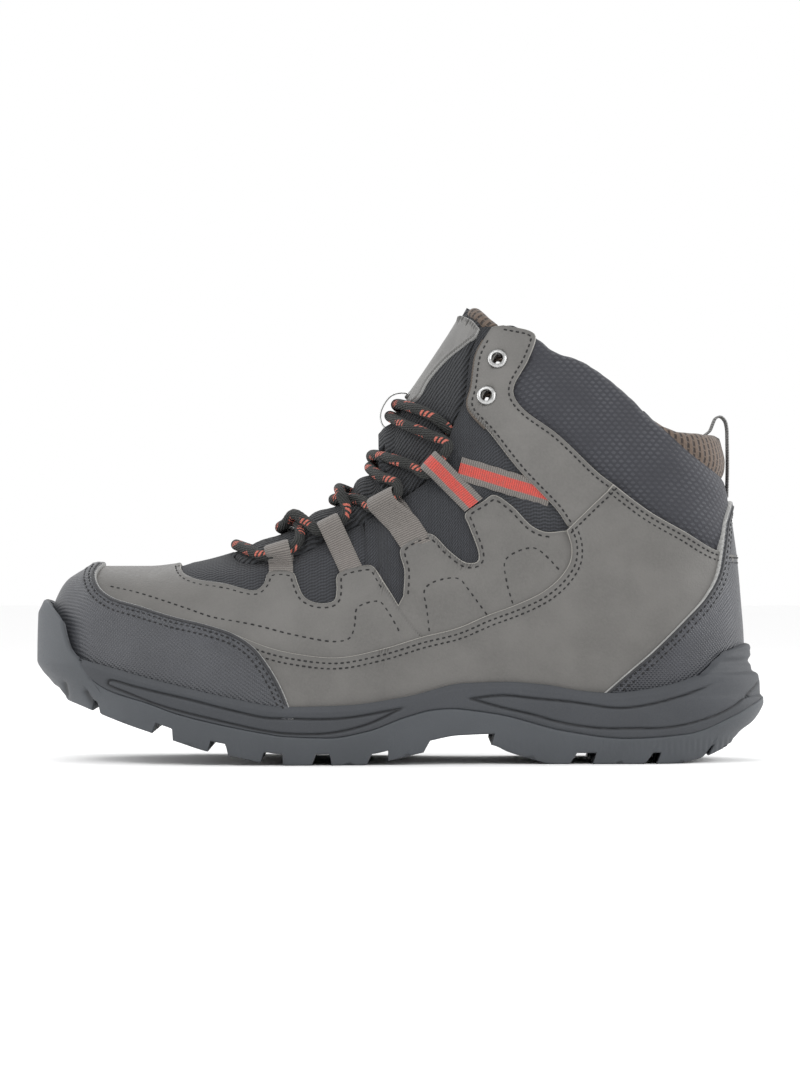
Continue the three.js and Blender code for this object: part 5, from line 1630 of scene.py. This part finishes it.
EDGE_PITCH, DECO_PITCH = 2.5, 3.1
for side in (OUTER, INNER):
    for row in vamp_rows:
        sew(row, side, vamp_shape, DECO_PITCH, 1.7)
    for row in quarter_rows:
        sew(row, side, quarter_shape, DECO_PITCH, 1.7)
    for row in eyestay_rows:
        sew(row, side, eyestay_shape, EDGE_PITCH)
    for row in heel_rows:
        sew(row, side, heel_shape, EDGE_PITCH)
    for row in guard_rows:
        sew(row, side, guard_shape, EDGE_PITCH)
    for row in heel_cover_rows:
        sew(row, side, heel_cover_shape, EDGE_PITCH)

STITCH_RINGS = ((-0.5, 0.12), (-0.34, 0.34), (0.34, 0.34), (0.5, 0.12))   # (share of its length, radius)
END_SINK = 0.16   # how far a stitch's two ends go down
SPOKES = 6
first = np.array([s[0] for s in stitches])
last = np.array([s[1] for s in stitches])
up = np.array([s[2] for s in stitches])
direction = last - first
direction /= np.linalg.norm(direction, axis=1, keepdims=True)
across = np.cross(direction, up)
middle = (first + last) / 2
span = last - first
vertices = []
for t, radius in STITCH_RINGS:
    for k in range(SPOKES):
        angle = 2 * math.pi * k / SPOKES
        sink = -END_SINK if abs(t) == 0.5 else 0.0
        vertices.append(middle + t * span + radius * (math.cos(angle) * across + math.sin(angle) * up)
                        + sink * up)
vertices = np.stack(vertices, 1)
per = len(STITCH_RINGS) * SPOKES
one = quads(len(STITCH_RINGS), SPOKES, closed=True)
one += [list(reversed(range(SPOKES))), list(range(per - SPOKES, per))]
faces = [[v + i * per for v in face] for i in range(len(stitches)) for face in one]
place(make_object("stitching", vertices.reshape(-1, 3), faces, THREAD, vertices.reshape(-1, 3)[:, :2] * MM,
                  sharp=0),
      BOOT, (), "lace")

# ---- Tongue ---------------------------------------------------------------------------------------------------

lace_tree = KDTree(len(lace_path))
for i, point in enumerate(lace_path):
    lace_tree.insert(point, i)
lace_tree.balance()
TIP_RADIUS = 3.6       # of the rounding along the tongue's top edge
TONGUE_HALF = 3.9      # half the tongue's thickness
UNDER_UPPER = 2.1      # how deep the tongue lies where the upper covers it
RIB_PITCH = 2.3
BULGES = [(19.5, 45, 1.0), (53, 79.5, 2.2), (87.5, 109, 2.6), (117, 138.5, 3.6)]
throat_low = shifted(throat, -2.0)
throat_low = throat_low[(throat_low[:, 1] < ridge_height(throat_low[:, 0]) - 0.4) & (throat_low[:,
        1] < 176)]
tongue_half = np.vstack([
    [[along(throat_low[0, 0] - 1.5), 0.0]], domain(throat_low, OUTER),
    straight([throat_low[-1], (38, 177), (28.4, 184.8)], OUTER), [[along(27.8), 0.0]]])
tongue_loop = np.vstack([tongue_half, (tongue_half * [1, -1])[::-1]])
tongue_top_line = np.array([(38, 177), (28.4, 184.8), (27.6, 185.6)])


def clear_of_lace(p, n, lift, room=2.33):
    """Lets the lace press into a soft surface."""
    lift = lift.copy()
    for _ in range(7):
        at = p + n * lift[:, None]
        found = [lace_tree.find(v) for v in at]
        gap = np.array([f[2] for f in found])
        near = gap < room
        lift[near] -= (room - gap[near]) * 1.05
    return lift


def tip_drop(p):
    """How far the tongue's outer face rounds off down to its top edge."""
    t = np.clip(1 - line_distance(p, tongue_top_line) / TIP_RADIUS, 0, 1)
    return TIP_RADIUS * (1 - np.sqrt(1 - t * t))


def tongue_lift(a, q, p, d):
    x = station(fold_ends(a, q)[0])
    w = x + ridge_height(x)
    from_throat = line_distance(p, throat)
    bulge = np.zeros(len(p))
    for start, end, height in BULGES:
        t = np.clip((w - start) / (end - start), 0, 1)
        bulge += height * np.sin(math.pi * t) ** 2
    outside = ~inside(np.stack([p[:, 0], p[:, 2]], -1), THROAT_OPENING)
    lift = 0.2 + bulge * smoothstep(from_throat, 1, 13)
    v = weave_coordinates(a, q)[:, 1]
    ribs = 0.10 * np.sin(2 * math.pi / RIB_PITCH * (v + 0.40 * np.sin(2 * math.pi * a / 7.5)))
    lift = lift + ribs * (w < 150)
    lift = np.where(outside, -UNDER_UPPER, -UNDER_UPPER + (lift + UNDER_UPPER)
                    * smoothstep(from_throat, -0.5, 3.0))
    return clear_of_lace(p, normal(a, q), lift - tip_drop(p))


THROAT_OPENING = np.vstack([throat, [(38, 230), (-100, 230), (-100, 90)]])


def tongue_under(a, q, p, d):
    top = line_distance(p, tongue_top_line)
    t = np.clip(1 - top / TIP_RADIUS, 0, 1)
    edge = smoothstep(np.minimum(line_distance(p, throat), 8), 0, 6)
    return -TONGUE_HALF - TONGUE_HALF * np.sqrt(1 - t * t) * edge


tongue = panel("tongue", tongue_loop, tongue_under, tongue_lift, TONGUE_MESH, step=1.25, rings=(0.5, 1.0),
               body=None,
               replaces=["tongue_pad", "tongue_flap"], slot="mesh")
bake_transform(tongue)

BINDING_RADIUS = 3.0
BINDING_ROUND = 0.019   # the weave's width around the binding, in metres
binding_half = straight([(37, 177.6), (28.4, 184.4)], OUTER, 0.8)
binding_line = np.vstack([binding_half, (binding_half * [1, -1])[::-1]])
binding_path = evenly(catmull_rom(above(binding_line[:, 0], binding_line[:, 1],
                                        np.full(len(binding_line), -3.2))[::2]), 0.5)
vertices, faces, uv = tube(binding_path, BINDING_RADIUS, 18)
uv = uv * [1, BINDING_ROUND]
place(make_object("tongue_binding", vertices, faces, CUFF, uv, weld=True), TONGUE_TOP, (), "lining")

patch_rear = smooth_line([(4.5, 145.5), (8.5, 149), (12.5, 156), (19.5, 164), (27, 170), (31.5, 173.5)])
patch_half = np.vstack([
    [[along(3.2), 0.0]], straight([(3.6, 148.2), (4.5, 145.5)], OUTER), domain(patch_rear, OUTER),
    straight([(31.5, 173.5), (33, 176.5), (30, 180.5), (26.2, 182.6)], OUTER), [[along(25.8), 0.0]]])
patch_loop = np.vstack([patch_half, (patch_half * [1, -1])[::-1]])
patch_rows = [shifted(patch_rear, 2.0)]


def patch_lift(a, q, p, d):
    piping = 0.55 * np.exp(-((d - 0.8) / 0.7) ** 2)
    return 0.25 + 1.0 * soft_edge(d, 0.8, 0.3) + piping - grooves(patch_rows)(p) - tip_drop(p)


patch = panel("tongue_patch_leather", patch_loop, lambda a, q, p, d: -0.6 - tip_drop(p), patch_lift, PATCH,
              body=None, replaces=["tongue_patch"],
              slot="leather")
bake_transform(patch)

# ---- Webbing, eyelets, keeper and pull loop -------------------------------------------------------------------


def ribbon(centre, across, width, thick, columns=10, serrated=0.0):
    """A strap along a path: vertices, faces and weave coordinates. across points along its width at each step."""
    centre = np.asarray(centre, float)
    across = np.broadcast_to(np.asarray(across, float), centre.shape)
    across = across / np.linalg.norm(across, axis=1, keepdims=True)
    t = np.gradient(centre, axis=0)
    t /= np.linalg.norm(t, axis=1, keepdims=True)
    up = np.cross(t, across)
    up /= np.linalg.norm(up, axis=1, keepdims=True)
    run = distance_along(centre)
    half = np.broadcast_to(np.asarray(width, float),
                           (len(centre),)) / 2 + serrated * np.sin(run * 2 * math.pi / 0.9)
    w = np.linspace(-1, 1, columns + 1)
    round_off = np.sqrt(np.maximum(1 - np.abs(w) ** 8, 0))
    spread = across[:, None] * (w[None, :, None] * half[:, None, None])
    rise = up[:, None] * (thick / 2 * round_off)[None, :, None]
    top = centre[:, None] + spread + rise
    low = centre[:, None] + spread[:, ::-1] - rise[:, ::-1]
    grid = np.concatenate([top, low], 1)
    n, m = grid.shape[:2]
    faces = quads(n, m, closed=True) + [list(reversed(range(m))), [(n - 1) * m + j for j in range(m)]]
    v = np.concatenate([w, w[::-1]])[None, :] * half[:, None]
    uv = np.stack([np.broadcast_to(run[:, None], v.shape), v], -1) * MM
    return grid.reshape(-1, 3), faces, uv.reshape(-1, 2)


WEB_LIFT, WEB_THICK, RING_RADIUS = 0.9, 1.0, 3.45
RING_ARC = (-0.75, 3.4)    # how far the webbing goes around the lace, in radians
SERRATION = 0.12           # how far a woven edge runs in and out
EYELET_PROFILE = [         # (radius, height over the surface): a barrel and a rolled flange
    (2.2, -5.2), (2.75, -5.2), (2.75, 1.4), (3.9, 1.5), (4.0, 1.7), (3.85, 2.1), (3.4, 2.5), (2.9, 2.6),
    (2.45, 2.35),
    (2.2, 1.7)]
for side, side_name in SIDES.items():
    for k, (front, rear, foot) in enumerate(LOOPS):
        ends = loop_ends(k, side)
        axis = ends[1] - ends[0]
        axis /= np.linalg.norm(axis)
        centre = (ends[0] + ends[1]) / 2
        middle_xz = ((front[0] + rear[0]) / 2, (front[1] + rear[1]) / 2)
        foot_xz = ((foot[0][0] + foot[1][0]) / 2, (foot[0][1] + foot[1][1]) / 2)
        if k < 3:
            foot_xz = (foot_xz[0] + 0.25 * (foot_xz[0] - middle_xz[0]),
                       foot_xz[1] + 0.25 * (foot_xz[1] - middle_xz[1]))
        q_mid = share_at(middle_xz[0], middle_xz[1], side)
        out = above_x(middle_xz[0], q_mid, 1.0) - upper_point(middle_xz[0], q_mid)
        out -= axis * np.dot(out, axis)
        out /= np.linalg.norm(out)
        down = np.cross(axis, out)
        foot_point = lace_place(foot_xz[0], side, foot_xz[1], 0.6 if k < 3 else WEB_LIFT)
        if np.dot(foot_point - centre, down) < 0:
            down = -down
        arc = [centre + RING_RADIUS * (math.cos(t) * out - math.sin(t)
                                       * down) for t in np.linspace(*RING_ARC, 26)]
        strap_points = [lace_place(foot_xz[0] + s * (middle_xz[0] - foot_xz[0]), side,
                                   foot_xz[1] + s * (middle_xz[1] - foot_xz[1]),
                                   WEB_LIFT - (0.4 * (1 - s) if k < 3 else 0) + 0.9 * s ** 2)
                        for s in np.linspace(0, 0.52, 7)]
        tail = [lace_place(middle_xz[0] + s * (foot_xz[0] - middle_xz[0]), side,
                           middle_xz[1] + s * (foot_xz[1] - middle_xz[1]), 0.25) for s in (0.12, 0.35)]
        path = evenly(catmull_rom(np.array(strap_points + arc + tail), 6), 0.35)
        run = np.linspace(0, 1, len(path))
        across_foot = lace_place(*foot[0][:1], side, foot[0][1], 0.8) - lace_place(*foot[1][:1], side,
                foot[1][1], 0.8)
        blend_in = smoothstep(run, 0.15, 0.5)[:, None]
        across_path = across_foot / np.linalg.norm(across_foot) * (1 - blend_in) + axis * blend_in
        width = np.linalg.norm(ends[1] - ends[0]) - 0.2
        finish, slot = (STRIPED, "stripe") if k == 3 else (WEBBING, "webbing")
        vertices, faces, _ = ribbon(path, across_path, width, WEB_THICK, 12, SERRATION)
        plain_uv = ribbon(path, across_path, width, WEB_THICK,
                          12)[2]   # the weave ignores the serrated edge
        place(make_object(f"webbing_loop_{k + 1}_{side_name}", vertices, faces, finish, plain_uv, sharp=50),
              BOOT, [f"lace_loop_{k + 1}_{side_name}"], slot)
    strap_line = evenly([(24.6, 119.7), (34, 116.9), (44, 113.8), (62, 108.8)], 0.8)
    strap_path = np.array([lace_place(x, side, z, 0.75 - 0.45 * smoothstep(x, 44, 54) - 0.3
                                      * smoothstep(x, 55.5, 58)) for x, z in strap_line])
    strap_across = np.array([lace_place(x + 1.2, side, z + 5, 0.75) - lace_place(x - 1.2, side, z - 5,
            0.75) for x, z in strap_line])
    vertices, faces, uv = ribbon(strap_path, strap_across, 9.4, 0.9, 12, 0.1)
    place(make_object(f"striped_strap_{side_name}", vertices, faces, STRIPED, uv, sharp=50), BOOT,
          [f"side_strap_{side_name}"], "stripe")
    for label, (x, z) in EYELET_PLACES.items():
        q = share_at(x, z, side)
        origin = upper_point(x, q)
        n = above_x(x, q, 1.0) - origin
        one = np.cross(n, (0, 1, 0) if abs(n[1]) < 0.9 else (1, 0, 0))
        one /= np.linalg.norm(one)
        two = np.cross(n, one)
        turns = 40
        vertices = np.array([origin + n * h + r * (math.cos(t) * one + math.sin(t) * two)
                             for r, h in EYELET_PROFILE for t in np.linspace(0, 2 * math.pi, turns,
                                     endpoint=False)])
        faces = quads(len(EYELET_PROFILE), turns, closed=True, closed_rows=True)
        place(make_object(f"eyelet_ring_{label}_{side_name}", vertices, faces, METAL, vertices[:, :2] * MM,
                          sharp=35),
              BOOT, [f"eyelet_{label}_{side_name}"], "metal")

keeper_line = evenly(catmull_rom([
    (4.4, 150.8), (0.6, 151.4), (-3.4, 150.2), (-6.4, 146.6), (-7.9, 142.5), (-7.4, 138.8),
    (-5.3, 136.0)]), 0.5)
keeper_path = np.stack([keeper_line[:, 0], np.zeros(len(keeper_line)), keeper_line[:, 1]], -1)
vertices, faces, uv = ribbon(keeper_path, (0, 1, 0), 8, 0.7, 10)
place(make_object("keeper_band", vertices, faces, KEEPER, uv, sharp=50), BOOT, ["lace_keeper"], "keeper")

pull_line = evenly(catmull_rom([
    (135.0, 108.2), (135.3, 120), (135.2, 131), (135.0, 136.6), (134.2, 139.8), (132.3, 141.5),
    (130.4, 140.8),
    (129.2, 138.4), (128.0, 135.6), (125.2, 133.2), (123.0, 129), (122.4, 120), (122.2, 113)]), 0.6)
pull_path = np.stack([pull_line[:, 0], np.zeros(len(pull_line)), pull_line[:, 1]], -1)
vertices, faces, uv = ribbon(pull_path, (0, 1, 0), 12, 0.95, 12, 0.1)
pull = make_object("pull_strap", vertices, faces, PULL, uv, sharp=50)
place(pull, None, ["pull_loop", "pull_tab_outer_tail", "pull_tab_inner_tail"], "webbing")
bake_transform(pull)

# ---- Nodes that keep the CAD's own shape ----------------------------------------------------------------------

FOOTBED = board("footbed_fabric", (96, 92, 88), 900.0, 0.95)
GUSSET = board("gusset_cloth", (70, 73, 76), 1100.0, 0.95)
KEPT = {
    "shank": STIFFENER, "insole_board": BOARD, "toe_puff": STIFFENER, "heel_counter": STIFFENER,
    "tongue_gusset_outer": GUSSET, "tongue_gusset_inner": GUSSET, "footbed": FOOTBED}
for node_name, finish in KEPT.items():
    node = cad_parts[node_name]
    node.data.materials.clear()
    node.data.materials.append(finish)
